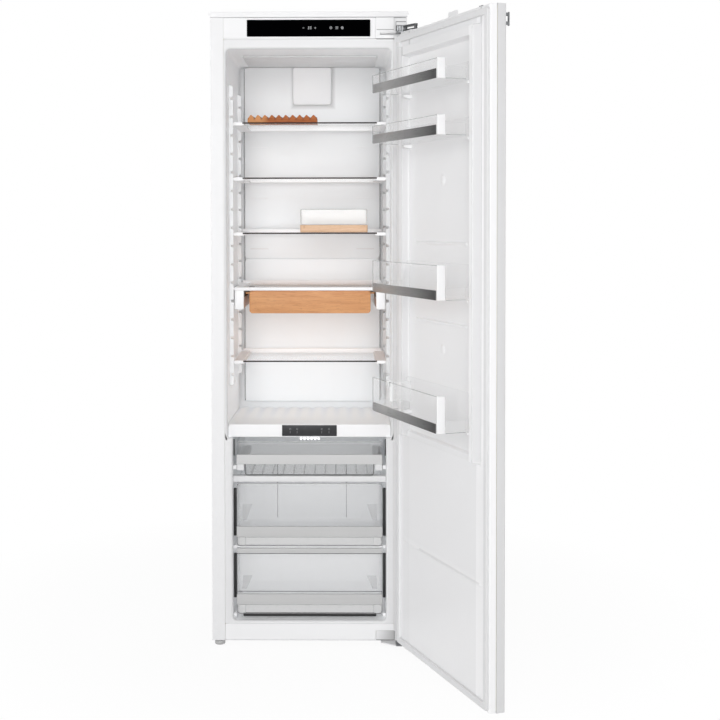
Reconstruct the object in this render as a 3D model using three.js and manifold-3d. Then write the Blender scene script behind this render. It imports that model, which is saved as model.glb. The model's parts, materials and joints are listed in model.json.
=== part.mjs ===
// Built-in tall larder refrigerator, door open, millimetres, +Z up, front towards -Y, +X to the right.
// The origin lies on the floor, in the middle of the underside of the compressor carrier's rail.
// Every piece is one closed solid. Door pieces are drawn with the door shut and hang in one turned group.
import * as THREE from "three";
import { mergeVertices } from "three/addons/utils/BufferGeometryUtils.js";
import Module from "manifold-3d";

const wasm = await Module();
wasm.setup();

// Driving dimensions
const totalHeight = 1772;
const bodyWidth = 546;
const bodyDepth = 498;
const carrierSetback = 68; // rail centre to the rearmost tube
const floorGap = 14.6;
const sideWall = 44; // steel skin, foam and liner together
const doorOpenDeg = 110.72; // the photographed opening
const doorThick = 50; // gasket face to outer face
// The stack of drawers, counted up from the liner's floor
const stack = {
  floor: 70,
  under: 16,
  low: 186,
  between: 6,
  mid: 178,
  barGap: 2,
  bar: 18,
  trayGap: 2,
  tray: 31.5,
  shoulder: 64.5,
  above: 11,
};
const lowerBottom = stack.floor + stack.under;
const middleBottom = lowerBottom + stack.low + stack.between;
const barBottom = middleBottom + stack.mid + stack.barGap;
const upperBottom = barBottom + stack.bar + stack.trayGap;
const upperShoulder = upperBottom + stack.tray;
const upperTop = upperShoulder + stack.shoulder;
const drawerZoneTop = upperTop + stack.above;

// Clearances shared by all pieces
const seat = 0.3; // two pieces that touch
const run = 1; // a piece that slides past another
const over = 5; // how far a cut runs past what it cuts

// Planes worked out from the driving dimensions
const rearY = carrierSetback;
const frontY = rearY - bodyDepth;
const halfBody = bodyWidth / 2;
const innerHalf = halfBody - sideWall;

// Shape helpers
const toSolid = (geometry) => {
  geometry.deleteAttribute("normal");
  geometry.deleteAttribute("uv");
  const merged = mergeVertices(geometry);
  return new wasm.Manifold(
    new wasm.Mesh({
      numProp: 3,
      vertProperties: new Float32Array(merged.attributes.position.array),
      triVerts: new Uint32Array(merged.index.array),
    }),
  );
};
const join = (...solids) => solids.reduce((a, b) => a.add(b));
const cut = (solid, ...tools) => tools.reduce((a, b) => a.subtract(b), solid);
const box = (x0, x1, y0, y1, z0, z1) =>
  toSolid(
    new THREE.BoxGeometry(x1 - x0, y1 - y0, z1 - z0).translate((x0 + x1) / 2, (y0 + y1) / 2, (z0 + z1) / 2),
  );
const extruded = (shape, length, arcSteps = 2) =>
  new THREE.ExtrudeGeometry(shape, { depth: length, bevelEnabled: false, curveSegments: arcSteps });
// An outline in X and Y, raised from z0 to z1.
const raised = (shape, z0, z1, arcSteps) => toSolid(extruded(shape, z1 - z0, arcSteps).translate(0, 0, z0));
// An outline in X and Z, run back from y0 to y1.
const runBack = (shape, y0, y1, arcSteps) =>
  toSolid(extruded(shape, y1 - y0, arcSteps).rotateX(Math.PI / 2).translate(0, y1, 0));
// An outline in Y and Z, run across from x0 to x1.
const acrossBasis = new THREE.Matrix4().makeBasis(
  new THREE.Vector3(0, 1, 0),
  new THREE.Vector3(0, 0, 1),
  new THREE.Vector3(1, 0, 0),
);
const runAcross = (shape, x0, x1, arcSteps) =>
  toSolid(extruded(shape, x1 - x0, arcSteps).applyMatrix4(acrossBasis).translate(x0, 0, 0));
const outline = (...points) => new THREE.Shape(points.map(([u, v]) => new THREE.Vector2(u, v)));
// A rectangle with its four corners rounded, each by its own radius: low left, low right, high right, high left.
function rounded(u0, u1, v0, v1, ll, lr = ll, hr = lr, hl = hr) {
  const s = new THREE.Shape();
  s.moveTo(u0 + ll, v0);
  s.lineTo(u1 - lr, v0);
  if (lr) s.absarc(u1 - lr, v0 + lr, lr, -Math.PI / 2, 0, false);
  s.lineTo(u1, v1 - hr);
  if (hr) s.absarc(u1 - hr, v1 - hr, hr, 0, Math.PI / 2, false);
  s.lineTo(u0 + hl, v1);
  if (hl) s.absarc(u0 + hl, v1 - hl, hl, Math.PI / 2, Math.PI, false);
  s.lineTo(u0, v0 + ll);
  if (ll) s.absarc(u0 + ll, v0 + ll, ll, Math.PI, 1.5 * Math.PI, false);
  return s;
}
const rod = (x, y, z0, z1, radius, sides = 16) =>
  toSolid(
    new THREE.CylinderGeometry(radius, radius, z1 - z0, sides).rotateX(Math.PI / 2).translate(x, y, (z0 + z1) / 2),
  );
const rodAlongY = (x, z, y0, y1, radius, sides = 20) =>
  toSolid(new THREE.CylinderGeometry(radius, radius, y1 - y0, sides).translate(x, (y0 + y1) / 2, z));
const mirrored = (solid) => solid.mirror([1, 0, 0]);
const bothSides = (solid) => join(solid, mirrored(solid));
const range = (n) => Array.from({ length: n }, (_, i) => i);

// Materials
const finish = (color, roughness, metalness = 0, opacity = 1) =>
  new THREE.MeshStandardMaterial({ color, roughness, metalness, opacity, transparent: opacity < 1 });
const whiteSteel = finish(0xf4f4f4, 0.45);
const whitePlastic = finish(0xf2f2f2, 0.35);
const foamYellow = finish(0xd9c58f, 0.9);
const zincSteel = finish(0xa8abad, 0.4, 0.9);
const blackGlass = finish(0x0b0b0c, 0.08);
const clearGlass = finish(0xdfe9e6, 0.05, 0, 0.35);
const clearPlastic = finish(0xe6e8e8, 0.15, 0, 0.45);
const brushedSteel = finish(0x6f7172, 0.35, 1);
const beech = finish(0xd9a25f, 0.5);
const rubberWhite = finish(0xdcdcdc, 0.7);
const blackSteel = finish(0x17181a, 0.5, 0.3);
const darkPlastic = finish(0x2b2d30, 0.3);
const lampWhite = finish(0xffffff, 0.5);
const footGrey = finish(0xb9bcbc, 0.4);

const fridge = new THREE.Group();
function addNode(name, solid, material, parent = fridge) {
  const made = solid.getMesh();
  const geometry = new THREE.BufferGeometry()
    .setAttribute("position", new THREE.BufferAttribute(made.vertProperties, made.numProp))
    .setIndex(new THREE.BufferAttribute(made.triVerts, 1));
  geometry.computeVertexNormals();
  const mesh = new THREE.Mesh(geometry, material);
  mesh.name = name;
  parent.add(mesh);
}

// Cabinet skin: folded steel sheet with narrow front returns, open at the back and over the compressor bay
const skin = { sheet: 1, flange: 36, topDrop: 15 };
const bay = { depth: 209, height: 200, wall: 30 }; // the compressor bay, and the foam between it and the liner
const backSheet = { inset: 20, thick: 1 };
const skinTop = totalHeight - skin.topDrop;
const skinBack = rearY - backSheet.inset;
const bayFront = rearY - bay.depth;
const bayTop = floorGap + bay.height;
const flangeInner = halfBody - skin.flange;
const foot = { radius: 15, pad: 8, stem: 5, rise: 45, inset: 20, setback: 17, lobe: 1.5, lobes: 12 };
const footX = halfBody - foot.inset;
const footY = frontY + foot.setback;
const footHoles = (clearance, z0, z1) =>
  bothSides(rod(footX, footY, z0, z1, foot.stem + clearance, 12));

let shell = cut(
  box(-halfBody, halfBody, frontY, skinBack, floorGap, skinTop),
  box(
    -halfBody + skin.sheet,
    halfBody - skin.sheet,
    frontY - over,
    skinBack + over,
    floorGap + skin.sheet,
    skinTop - skin.sheet,
  ),
  box(-halfBody + skin.sheet, halfBody - skin.sheet, bayFront, skinBack + over, floorGap - over, bayTop),
  footHoles(run, floorGap - over, floorGap + over),
);
shell = join(
  shell,
  bothSides(box(flangeInner, halfBody, frontY, frontY + skin.sheet, floorGap, skinTop)),
);
addNode("outer_shell", shell, whiteSteel);

// Rear sheet: straight down the back, forward over the compressor bay and down its front
const sheetHalf = halfBody - skin.sheet - seat;
const sheetFold = outline(
  [skinBack, skinTop - skin.sheet - seat],
  [skinBack - backSheet.thick, skinTop - skin.sheet - seat],
  [skinBack - backSheet.thick, bayTop + backSheet.thick],
  [bayFront - backSheet.thick, bayTop + backSheet.thick],
  [bayFront - backSheet.thick, floorGap + skin.sheet + seat],
  [bayFront, floorGap + skin.sheet + seat],
  [bayFront, bayTop],
  [skinBack, bayTop],
);
addNode("back_panel", runAcross(sheetFold, -sheetHalf, sheetHalf), zincSteel);

// Inner liner: thermoformed tub with shelf columns, drawer ledges and a front rim
const liner = {
  wall: 1.8,
  lip: 7.7,
  ceiling: 1670,
  floor: stack.floor,
  rimCorner: 4,
  rim: 8,
  corner: 14,
  zoneInset: 14,
  backDepth: 444,
  rimTop: 1697.5,
};
const zoneHalf = innerHalf - liner.zoneInset;
const linerBack = frontY + liner.backDepth;
const stepY = bayFront - bay.wall;
const stepZ = bayTop + bay.wall;
const rimHalf = innerHalf + liner.lip;
const rimBottom = liner.floor - liner.rim;
const cornerSteps = 4;
// The tub's hollow, grown by a wall where asked: a wide upper room and a narrower drawer zone with a raised rear.
function tub(grow) {
  const y0 = grow ? frontY : frontY - over;
  const upper = rounded(
    -innerHalf - grow,
    innerHalf + grow,
    drawerZoneTop - grow,
    liner.ceiling + grow,
    0,
    0,
    liner.corner + grow,
    liner.corner + grow,
  );
  const lower = rounded(-zoneHalf - grow, zoneHalf + grow, liner.floor - grow, drawerZoneTop + over, liner.corner, liner.corner, 0, 0);
  return join(
    runBack(upper, y0, linerBack + grow, cornerSteps),
    runBack(lower, y0, stepY + grow, cornerSteps),
    box(-zoneHalf - grow, zoneHalf + grow, y0, linerBack + grow, stepZ - grow, drawerZoneTop + over),
  );
}

// Shelf ladder: two columns on each wall, notched at an even pitch
const ladder = {
  top: 1541.6,
  pitch: 52.6,
  count: 16,
  notch: 9,
  proud: 10.5,
  notchDeep: 8,
  above: 36,
  below: 30,
  frontDepth: 92,
  frontLong: 16,
  rearDepth: 388,
  rearLong: 14,
};
const columnFace = innerHalf - ladder.proud;
const ladderBottom = ladder.top - ladder.pitch * (ladder.count - 1);
function column(depth, long) {
  const y0 = frontY + depth;
  const post = box(columnFace, innerHalf + seat, y0, y0 + long, ladderBottom - ladder.below, ladder.top + ladder.above);
  const notches = range(ladder.count).map((k) => {
    const z = ladder.top - k * ladder.pitch;
    return box(
      columnFace - over,
      columnFace + ladder.notchDeep,
      y0 - over,
      y0 + long + over,
      z - ladder.notch / 2,
      z + ladder.notch / 2,
    );
  });
  return cut(post, ...notches);
}
const columns = bothSides(
  join(column(ladder.frontDepth, ladder.frontLong), column(ladder.rearDepth, ladder.rearLong)),
);

// Drawer sizes, used by the liner's runners and by the drawers
const drawer = {
  sideGap: 10,
  wall: 2.5,
  setback: 12,
  depth: 318,
  shortDepth: 218,
  corner: 12,
  trayInset: 24,
  shoulderCorner: 3,
};
drawer.half = zoneHalf - drawer.sideGap;
drawer.trayHalf = drawer.half - drawer.trayInset;
const runner = { reach: 30, thin: 4, plinth: 20, upperHigh: 24, endDepth: 322, shortEnd: 222, inset: 6 };
const runnerFront = frontY + drawer.setback + runner.inset;
const runners = bothSides(
  join(
    box(
      drawer.trayHalf + run + run,
      zoneHalf + seat,
      runnerFront,
      frontY + runner.endDepth,
      upperShoulder - seat - runner.upperHigh,
      upperShoulder - seat,
    ),
    box(
      zoneHalf - runner.reach,
      zoneHalf + seat,
      runnerFront,
      frontY + runner.endDepth,
      middleBottom - seat - runner.thin,
      middleBottom - seat,
    ),
    box(
      zoneHalf - runner.reach,
      zoneHalf + seat,
      runnerFront,
      frontY + runner.shortEnd,
      liner.floor - seat,
      lowerBottom - seat,
    ),
  ),
);
const rimPlate = cut(
  runBack(rounded(-rimHalf, rimHalf, rimBottom, liner.rimTop, liner.rimCorner), frontY, frontY + liner.wall),
  runBack(
    rounded(-innerHalf, innerHalf, drawerZoneTop, liner.ceiling, 0, 0, liner.corner, liner.corner),
    frontY - over,
    frontY + over,
  ),
  runBack(rounded(-zoneHalf, zoneHalf, liner.floor, drawerZoneTop + over, liner.corner, liner.corner, 0, 0), frontY - over, frontY + over),
);
const linerSolid = join(cut(tub(liner.wall), tub(0)), rimPlate, columns, runners.intersect(tub(liner.wall / 2)));
addNode("inner_liner", linerSolid, whitePlastic);

// Insulation: foamed in between the skin and the liner
const moduleDepth = 16; // pocket behind the control fascia
const fasciaBottom = liner.rimTop + seat;
let foam = box(
  -sheetHalf,
  sheetHalf,
  frontY + liner.wall + seat,
  skinBack - backSheet.thick - seat,
  floorGap + skin.sheet + seat,
  skinTop - skin.sheet - seat,
);
foam = cut(
  foam,
  tub(liner.wall + seat),
  box(-halfBody, halfBody, bayFront - backSheet.thick - seat, skinBack + over, floorGap - over, bayTop + backSheet.thick + seat),
  box(-flangeInner, halfBody - skin.sheet - seat, frontY - over, frontY + moduleDepth, fasciaBottom - seat, skinTop),
  box(-flangeInner, halfBody - skin.sheet - seat, frontY - over, frontY + moduleDepth, floorGap, rimBottom),
  footHoles(run, floorGap, floorGap + foot.rise),
);
addNode("insulation_foam", foam, foamYellow);

// Top trim: white strip that closes the slot above the appliance in its tall unit
const trim = { height: skin.topDrop - seat, spread: 3.5, depth: 34, taper: 7, lip: 4, chamfer: 2.4 };
const trimHalf = halfBody + trim.spread;
const trimSolid = runBack(
  outline(
    [-halfBody - seat, skinTop + seat],
    [halfBody + seat, skinTop + seat],
    [trimHalf, skinTop + trim.taper],
    [trimHalf, totalHeight - trim.chamfer],
    [trimHalf - trim.chamfer, totalHeight],
    [-trimHalf + trim.chamfer, totalHeight],
    [-trimHalf, totalHeight - trim.chamfer],
    [-trimHalf, skinTop + trim.taper],
  ),
  frontY - trim.lip,
  frontY + trim.depth,
);
addNode("top_trim", trimSolid, whitePlastic);

// Control fascia and its touch glass
const panel = {
  sideInset: 66,
  bottom: 1704,
  top: 1750,
  thick: 3,
  bed: 2,
  proud: 1.2,
  corner: 2,
};
panel.half = flangeInner - panel.sideInset;
const hingeCover = { long: 52, depth: 12, proud: 5, corner: 3, slotHigh: 9, wall: 2.4 };
hingeCover.left = flangeInner - hingeCover.long;
const fasciaShape = rounded(-flangeInner + seat, hingeCover.left - seat, fasciaBottom, skinTop - skin.sheet - seat, panel.corner);
const fascia = cut(
  runBack(fasciaShape, frontY - panel.proud, frontY + moduleDepth - seat),
  runBack(
    rounded(-panel.half - seat, panel.half + seat, panel.bottom - seat, panel.top + seat, panel.corner),
    frontY - over,
    frontY - panel.proud + panel.thick,
  ),
);
addNode("control_fascia", fascia, whitePlastic);
const glassFront = frontY - panel.proud - panel.bed / 2;
const controlGlass = runBack(
  rounded(-panel.half, panel.half, panel.bottom, panel.top, panel.corner),
  glassFront,
  frontY - panel.proud + panel.thick - seat,
);
addNode("control_glass", controlGlass, blackGlass);

// Base trim across the front, with a recess for the lower hinge
const baseTrim = { top: rimBottom - seat, bottom: floorGap + skin.sheet + seat, depth: 14, corner: 3 };
const lowerRecess = { long: 51, past: 2, top: 43 };
lowerRecess.left = flangeInner - lowerRecess.long;
lowerRecess.right = flangeInner + lowerRecess.past;
let plinth = runBack(
  rounded(-flangeInner + seat, flangeInner - seat, baseTrim.bottom, baseTrim.top, baseTrim.corner),
  frontY,
  frontY + baseTrim.depth,
);
plinth = cut(
  plinth,
  box(lowerRecess.left, lowerRecess.right, frontY - over, frontY + baseTrim.depth + over, floorGap, lowerRecess.top),
);
addNode("base_trim", plinth, whitePlastic);

// Levelling feet: a knurled pad on a threaded stem
const footPad = cut(
  rod(0, 0, 0, foot.pad, foot.radius, 24),
  ...range(foot.lobes).map((k) => {
    const turn = (2 * Math.PI * k) / foot.lobes;
    return rod(foot.radius * Math.cos(turn), foot.radius * Math.sin(turn), -over, foot.pad + over, foot.lobe, 6);
  }),
);
const footSolid = join(footPad, rod(0, 0, foot.pad, foot.rise, foot.stem, 12));
addNode("foot_left", footSolid.translate([-footX, footY, 0]), footGrey);
addNode("foot_right", footSolid.translate([footX, footY, 0]), footGrey);

// Compressor carrier: pressed tray across the bay, standing on one rail
const carrier = { plate: 2, railHalf: 18, railHigh: 12, flange: 34, railInset: 38, railCorner: 6 };
carrier.railLong = halfBody - carrier.railInset;
const carrierHalf = halfBody - skin.sheet - seat;
const carrierFront = bayFront + seat;
const carrierShape = outline(
  [-carrierHalf, carrier.railHigh + carrier.flange],
  [-carrierHalf, carrier.railHigh],
  [carrierHalf, carrier.railHigh],
  [carrierHalf, carrier.railHigh + carrier.flange],
  [carrierHalf - carrier.plate, carrier.railHigh + carrier.flange],
  [carrierHalf - carrier.plate, carrier.railHigh + carrier.plate],
  [-carrierHalf + carrier.plate, carrier.railHigh + carrier.plate],
  [-carrierHalf + carrier.plate, carrier.railHigh + carrier.flange],
);
const carrierTop = carrier.railHigh + carrier.plate;
const carrierSolid = join(
  runBack(carrierShape, carrierFront, rearY - seat),
  raised(rounded(-carrier.railLong, carrier.railLong, -carrier.railHalf, carrier.railHalf, carrier.railCorner), 0, carrier.railHigh + carrier.plate / 2),
);
addNode("compressor_carrier", carrierSolid, zincSteel);

// Compressor: welded steel pot on four rubber feet, with its terminal box and two stubs of copper tube
const pot = {
  x: -70,
  y: -38,
  radius: 66,
  belly: 70,
  footHigh: 10,
  footRadius: 9,
  plate: 3,
  plateHalf: 84,
  plateDeep: 44,
  rise: 128,
  seamHigh: 52,
  seamOut: 4,
  seamThick: 3,
  dome: 30,
};
const potBase = carrierTop + seat + pot.footHigh;
const potProfile = [
  [0, 0],
  [pot.radius - pot.seamOut - pot.plate, 0],
  [pot.radius, pot.plate * 4],
  [pot.radius, pot.seamHigh],
  [pot.belly, pot.seamHigh],
  [pot.belly, pot.seamHigh + pot.seamThick],
  [pot.radius, pot.seamHigh + pot.seamThick],
  [pot.radius, pot.rise - pot.dome],
  [pot.radius * Math.cos(Math.PI / 6), pot.rise - pot.dome / 2],
  [pot.radius * Math.cos(Math.PI / 3), pot.rise - pot.dome / 7],
  [0, pot.rise],
].map(([r, z]) => new THREE.Vector2(r, z));
const potBody = toSolid(
  new THREE.LatheGeometry(potProfile, 24).rotateX(Math.PI / 2).translate(pot.x, pot.y, potBase + pot.plate / 2),
);
const potFeet = [-1, 1].flatMap((i) =>
  [-1, 1].map((j) =>
    rod(
      pot.x + i * (pot.plateHalf - pot.footRadius),
      pot.y + j * (pot.plateDeep - pot.footRadius),
      carrierTop + seat,
      potBase + seat,
      pot.footRadius,
      12,
    ),
  ),
);
const terminal = { wide: 44, deep: 30, high: 52, z: 30, reach: 22 };
const stub = { radius: 3.5, high: 60, lean: 30, spread: 20 };
const potTop = potBase + pot.rise - pot.dome;
const compressor = join(
  potBody,
  raised(
    rounded(pot.x - pot.plateHalf, pot.x + pot.plateHalf, pot.y - pot.plateDeep, pot.y + pot.plateDeep, 10),
    potBase,
    potBase + pot.plate,
  ),
  ...potFeet,
  box(
    pot.x + pot.radius - terminal.deep / 2,
    pot.x + pot.radius + terminal.reach,
    pot.y - terminal.wide / 2,
    pot.y + terminal.wide / 2,
    potBase + terminal.z,
    potBase + terminal.z + terminal.high,
  ),
  rod(pot.x - stub.spread, pot.y + stub.lean, potTop, bayTop - stub.high / 2, stub.radius, 8),
  rod(pot.x + stub.spread, pot.y + stub.lean, potTop, bayTop - stub.high / 2, stub.radius, 8),
);
addNode("compressor", compressor, blackSteel);

// Mains inlet: a recessed socket block on the carrier
const inlet = { fromSide: 103, wide: 50, deep: 28, high: 36, cavityWide: 28, cavityHigh: 20, cavityDeep: 16, flange: 3, flangeOut: 8, lowCorner: 2, highCorner: 6 };
inlet.x = halfBody - inlet.fromSide;
const inletY = rearY - over;
const inletBody = join(
  box(inlet.x - inlet.wide / 2, inlet.x + inlet.wide / 2, inletY - inlet.deep, inletY, carrierTop + seat, carrierTop + seat + inlet.high),
  box(
    inlet.x - inlet.wide / 2 - inlet.flangeOut,
    inlet.x + inlet.wide / 2 + inlet.flangeOut,
    inletY - inlet.deep,
    inletY,
    carrierTop + seat,
    carrierTop + seat + inlet.flange,
  ),
);
const inletMid = carrierTop + seat + inlet.high / 2;
const inletSolid = cut(
  inletBody,
  runBack(
    rounded(
      inlet.x - inlet.cavityWide / 2,
      inlet.x + inlet.cavityWide / 2,
      inletMid - inlet.cavityHigh / 2,
      inletMid + inlet.cavityHigh / 2,
      inlet.lowCorner,
      inlet.lowCorner,
      inlet.highCorner,
      inlet.highCorner,
    ),
    inletY - inlet.cavityDeep,
    inletY + over,
  ),
);
addNode("power_inlet", inletSolid, darkPlastic);

// Condenser: serpentine tube with upright wires welded across it, held off the rear sheet
const coil = {
  runs: 11,
  low: 300,
  high: 1500,
  sideInset: 58,
  radius: 2.4,
  sides: 6,
  wires: 5,
  wire: 1.6,
  wireInset: 73,
  wireOver: 14,
  standoff: 10,
};
coil.half = halfBody - coil.sideInset;
coil.wireHalf = halfBody - coil.wireInset;
const coilY = skinBack + coil.standoff;
const coilPitch = (coil.high - coil.low) / (coil.runs - 1);
const coilPieces = [];
for (const k of range(coil.runs)) {
  const z = coil.low + k * coilPitch;
  coilPieces.push(
    toSolid(
      new THREE.CylinderGeometry(coil.radius, coil.radius, coil.half * 2, coil.sides)
        .rotateZ(Math.PI / 2)
        .translate(0, coilY, z),
    ),
  );
  if (k < coil.runs - 1) {
    const side = k % 2 ? -1 : 1;
    const bend = new THREE.QuadraticBezierCurve3(
      new THREE.Vector3(side * (coil.half - coil.radius), coilY, z),
      new THREE.Vector3(side * (coil.half + coilPitch / 2), coilY, z + coilPitch / 2),
      new THREE.Vector3(side * (coil.half - coil.radius), coilY, z + coilPitch),
    );
    const section = new THREE.Shape(
      range(coil.sides).map((i) => {
        const turn = (2 * Math.PI * i) / coil.sides;
        return new THREE.Vector2(coil.radius * Math.cos(turn), coil.radius * Math.sin(turn));
      }),
    );
    coilPieces.push(toSolid(new THREE.ExtrudeGeometry(section, { steps: 6, bevelEnabled: false, extrudePath: bend })));
  }
}
const wireY = coilY + coil.radius;
for (const k of range(coil.wires)) {
  const x = -coil.wireHalf + (2 * coil.wireHalf * k) / (coil.wires - 1);
  coilPieces.push(
    box(x - coil.wire / 2, x + coil.wire / 2, wireY - coil.wire, wireY + coil.wire / 2, coil.low - coil.wireOver, coil.high + coil.wireOver),
  );
}
// four clips reach from the outer wires to the rear sheet
const clip = { half: 4, high: 8 };
for (const x of [-coil.wireHalf, coil.wireHalf])
  for (const z of [coil.low + coilPitch / 2, coil.high - coilPitch / 2])
    coilPieces.push(box(x - clip.half, x + clip.half, skinBack + seat, wireY, z - clip.high, z + clip.high));
addNode("condenser_coil", join(...coilPieces), blackSteel);

// Air duct panel on the rear wall, open at the back over the evaporator and the fan
const duct = {
  sideGap: 19,
  proud: 22,
  wall: 2,
  ceilingGap: 1.5,
  seam: 1074,
  seamGap: 2.5,
  seamDeep: 1,
  rise: 43,
  corner: 10,
  slotHigh: 5,
  slotLong: 60,
  slotInset: 64,
  slotPitch: 157.8,
  slotFirst: 1421,
  slots: 5,
};
duct.half = innerHalf - duct.sideGap;
duct.bottom = drawerZoneTop + duct.rise;
duct.slotX = innerHalf - duct.slotInset;
const ductFront = linerBack - duct.proud;
const ductBack = linerBack - seat;
const fan = {
  z: 1609,
  hole: 46,
  rotor: 42,
  hub: 15,
  bore: 2.4,
  shaft: 2,
  blades: 7,
  bladeThick: 2,
  bladeDeep: 9,
  pitchDeg: 32,
  motorRadius: 20,
  motorDeep: 13,
  shaftOut: 8,
  bracket: 6,
};
function ductShell(z0, z1) {
  const outer = runBack(rounded(-duct.half, duct.half, z0, z1, duct.corner), ductFront, ductBack);
  const inner = runBack(
    rounded(-duct.half + duct.wall, duct.half - duct.wall, z0 + duct.wall, z1 - duct.wall, duct.corner - duct.wall),
    ductFront + duct.wall,
    ductBack + over,
  );
  return cut(outer, inner);
}
const slotPair = (z) =>
  bothSides(
    box(
      duct.slotX - duct.slotLong / 2,
      duct.slotX + duct.slotLong / 2,
      ductFront - over,
      ductFront + over,
      z - duct.slotHigh / 2,
      z + duct.slotHigh / 2,
    ),
  );
const ductSeam = box(
  -duct.half - over,
  duct.half + over,
  ductFront - over,
  ductFront + duct.seamDeep,
  duct.seam - duct.seamGap / 2,
  duct.seam + duct.seamGap / 2,
);
const ductPanel = cut(
  ductShell(duct.bottom, liner.ceiling - duct.ceilingGap),
  rodAlongY(0, fan.z, ductFront - over, ductFront + over, fan.hole, 32),
  ductSeam,
  ...range(duct.slots).map((k) => slotPair(duct.slotFirst - k * duct.slotPitch)),
);
addNode("duct_panel", ductPanel, whitePlastic);

// Evaporator: roll-bonded plate with a raised channel, behind the upper duct panel
const evaporator = { sideGap: 40, bottom: 1110, top: 1530, thick: 2, channel: 6, channelProud: 3, runs: 7, stand: 6 };
evaporator.half = duct.half - evaporator.sideGap;
const evapBack = linerBack - seat;
const evapRise = (evaporator.top - evaporator.bottom) / (evaporator.runs + 1);
const channelRuns = range(evaporator.runs).map((k) => {
  const z = evaporator.bottom + (k + 1) * evapRise;
  const end = evaporator.half - evapRise / 2;
  return box(-end, end, evapBack - evaporator.thick - evaporator.channelProud, evapBack - seat, z - evaporator.channel / 2, z + evaporator.channel / 2);
});
const channelEnds = range(evaporator.runs - 1).map((k) => {
  const z = evaporator.bottom + (k + 1) * evapRise;
  const side = k % 2 ? -1 : 1;
  const x = side * (evaporator.half - evapRise / 2);
  return box(
    x - evaporator.channel / 2,
    x + evaporator.channel / 2,
    evapBack - evaporator.thick - evaporator.channelProud,
    evapBack - seat,
    z - evaporator.channel / 2,
    z + evapRise + evaporator.channel / 2,
  );
});
const evaporatorSolid = join(
  box(-evaporator.half, evaporator.half, evapBack - evaporator.thick, evapBack, evaporator.bottom, evaporator.top),
  ...channelRuns,
  ...channelEnds,
);
addNode("evaporator", evaporatorSolid, zincSteel);

// Fan: motor on the rear wall, rotor on its shaft, and the square cover plate in front
const motorBack = linerBack - seat;
const motorFront = motorBack - fan.motorDeep;
const motor = join(
  rodAlongY(0, fan.z, motorFront, motorBack, fan.motorRadius, 24),
  box(-fan.rotor, fan.rotor, motorBack - fan.bladeThick, motorBack, fan.z - fan.bracket, fan.z + fan.bracket),
  rodAlongY(0, fan.z, motorFront - fan.shaftOut, motorFront + seat, fan.shaft, 10),
);
addNode("fan_motor", motor, darkPlastic);
const rotorBack = motorFront - run;
const rotorFront = rotorBack - fan.bladeDeep;
const bladeSpan = fan.rotor - fan.hub + 2 * fan.bladeThick;
const blades = range(fan.blades).map((k) =>
  toSolid(
    new THREE.BoxGeometry(bladeSpan, fan.bladeThick, fan.bladeDeep * 1.3)
      .rotateX(Math.PI / 2)
      .rotateX(THREE.MathUtils.degToRad(fan.pitchDeg))
      .translate(fan.hub + bladeSpan / 2 - fan.bladeThick, (rotorBack + rotorFront) / 2, 0)
      .rotateY((2 * Math.PI * k) / fan.blades)
      .translate(0, 0, fan.z),
  ),
);
const rotorRoom = rodAlongY(0, fan.z, rotorFront, rotorBack, fan.rotor, 28);
const rotor = cut(
  join(rodAlongY(0, fan.z, rotorFront, rotorBack, fan.hub, 20), join(...blades).intersect(rotorRoom)),
  rodAlongY(0, fan.z, rotorFront + fan.bladeThick / 2, rotorBack + over, fan.bore, 10),
);
addNode("fan_rotor", rotor, darkPlastic);

const coverPlate = { half: 60, bottom: 1551, top: 1667, proud: 9, wall: 2, corner: 9, topCorner: 3, slotHigh: 6, slotInset: 14 };
const plateFront = ductFront - coverPlate.proud;
const plateOuter = runBack(
  rounded(-coverPlate.half, coverPlate.half, coverPlate.bottom, coverPlate.top, coverPlate.corner, coverPlate.corner, coverPlate.topCorner, coverPlate.topCorner),
  plateFront,
  ductFront - seat,
);
const plateInner = runBack(
  rounded(
    -coverPlate.half + coverPlate.wall,
    coverPlate.half - coverPlate.wall,
    coverPlate.bottom + coverPlate.wall,
    coverPlate.top - coverPlate.wall,
    coverPlate.corner - coverPlate.wall,
    coverPlate.corner - coverPlate.wall,
    coverPlate.topCorner - coverPlate.wall,
    coverPlate.topCorner - coverPlate.wall,
  ),
  plateFront + coverPlate.wall,
  ductFront + over,
);
const plateVents = box(
  -coverPlate.half + coverPlate.slotInset,
  coverPlate.half - coverPlate.slotInset,
  plateFront + coverPlate.wall + run / 2,
  ductFront - run,
  coverPlate.bottom - over,
  coverPlate.bottom + over,
);
const sideVents = box(
  -coverPlate.half - over,
  coverPlate.half + over,
  plateFront + coverPlate.wall + run / 2,
  ductFront - run,
  coverPlate.bottom + coverPlate.slotInset,
  coverPlate.top - coverPlate.slotInset,
);
addNode("fan_cover", cut(plateOuter, plateInner, plateVents, sideVents), whitePlastic);

// Ceiling light: a shallow opal lens in a frame under the ceiling
const lamp = { sideGap: 34, frontDepth: 146, rearDepth: 388, high: 5, corner: 12, step: 5, stepHigh: 2 };
lamp.half = innerHalf - lamp.sideGap;
const lampTop = liner.ceiling - seat;
const lampOutline = (inset) =>
  rounded(
    -lamp.half + inset,
    lamp.half - inset,
    frontY + lamp.frontDepth + inset,
    frontY + lamp.rearDepth - inset,
    lamp.corner - inset / 2,
  );
const lampSolid = join(
  raised(lampOutline(0), lampTop - lamp.high + lamp.stepHigh, lampTop),
  raised(lampOutline(lamp.step), lampTop - lamp.high, lampTop - lamp.stepHigh),
);
addNode("ceiling_light", lampSolid, lampWhite);

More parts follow.
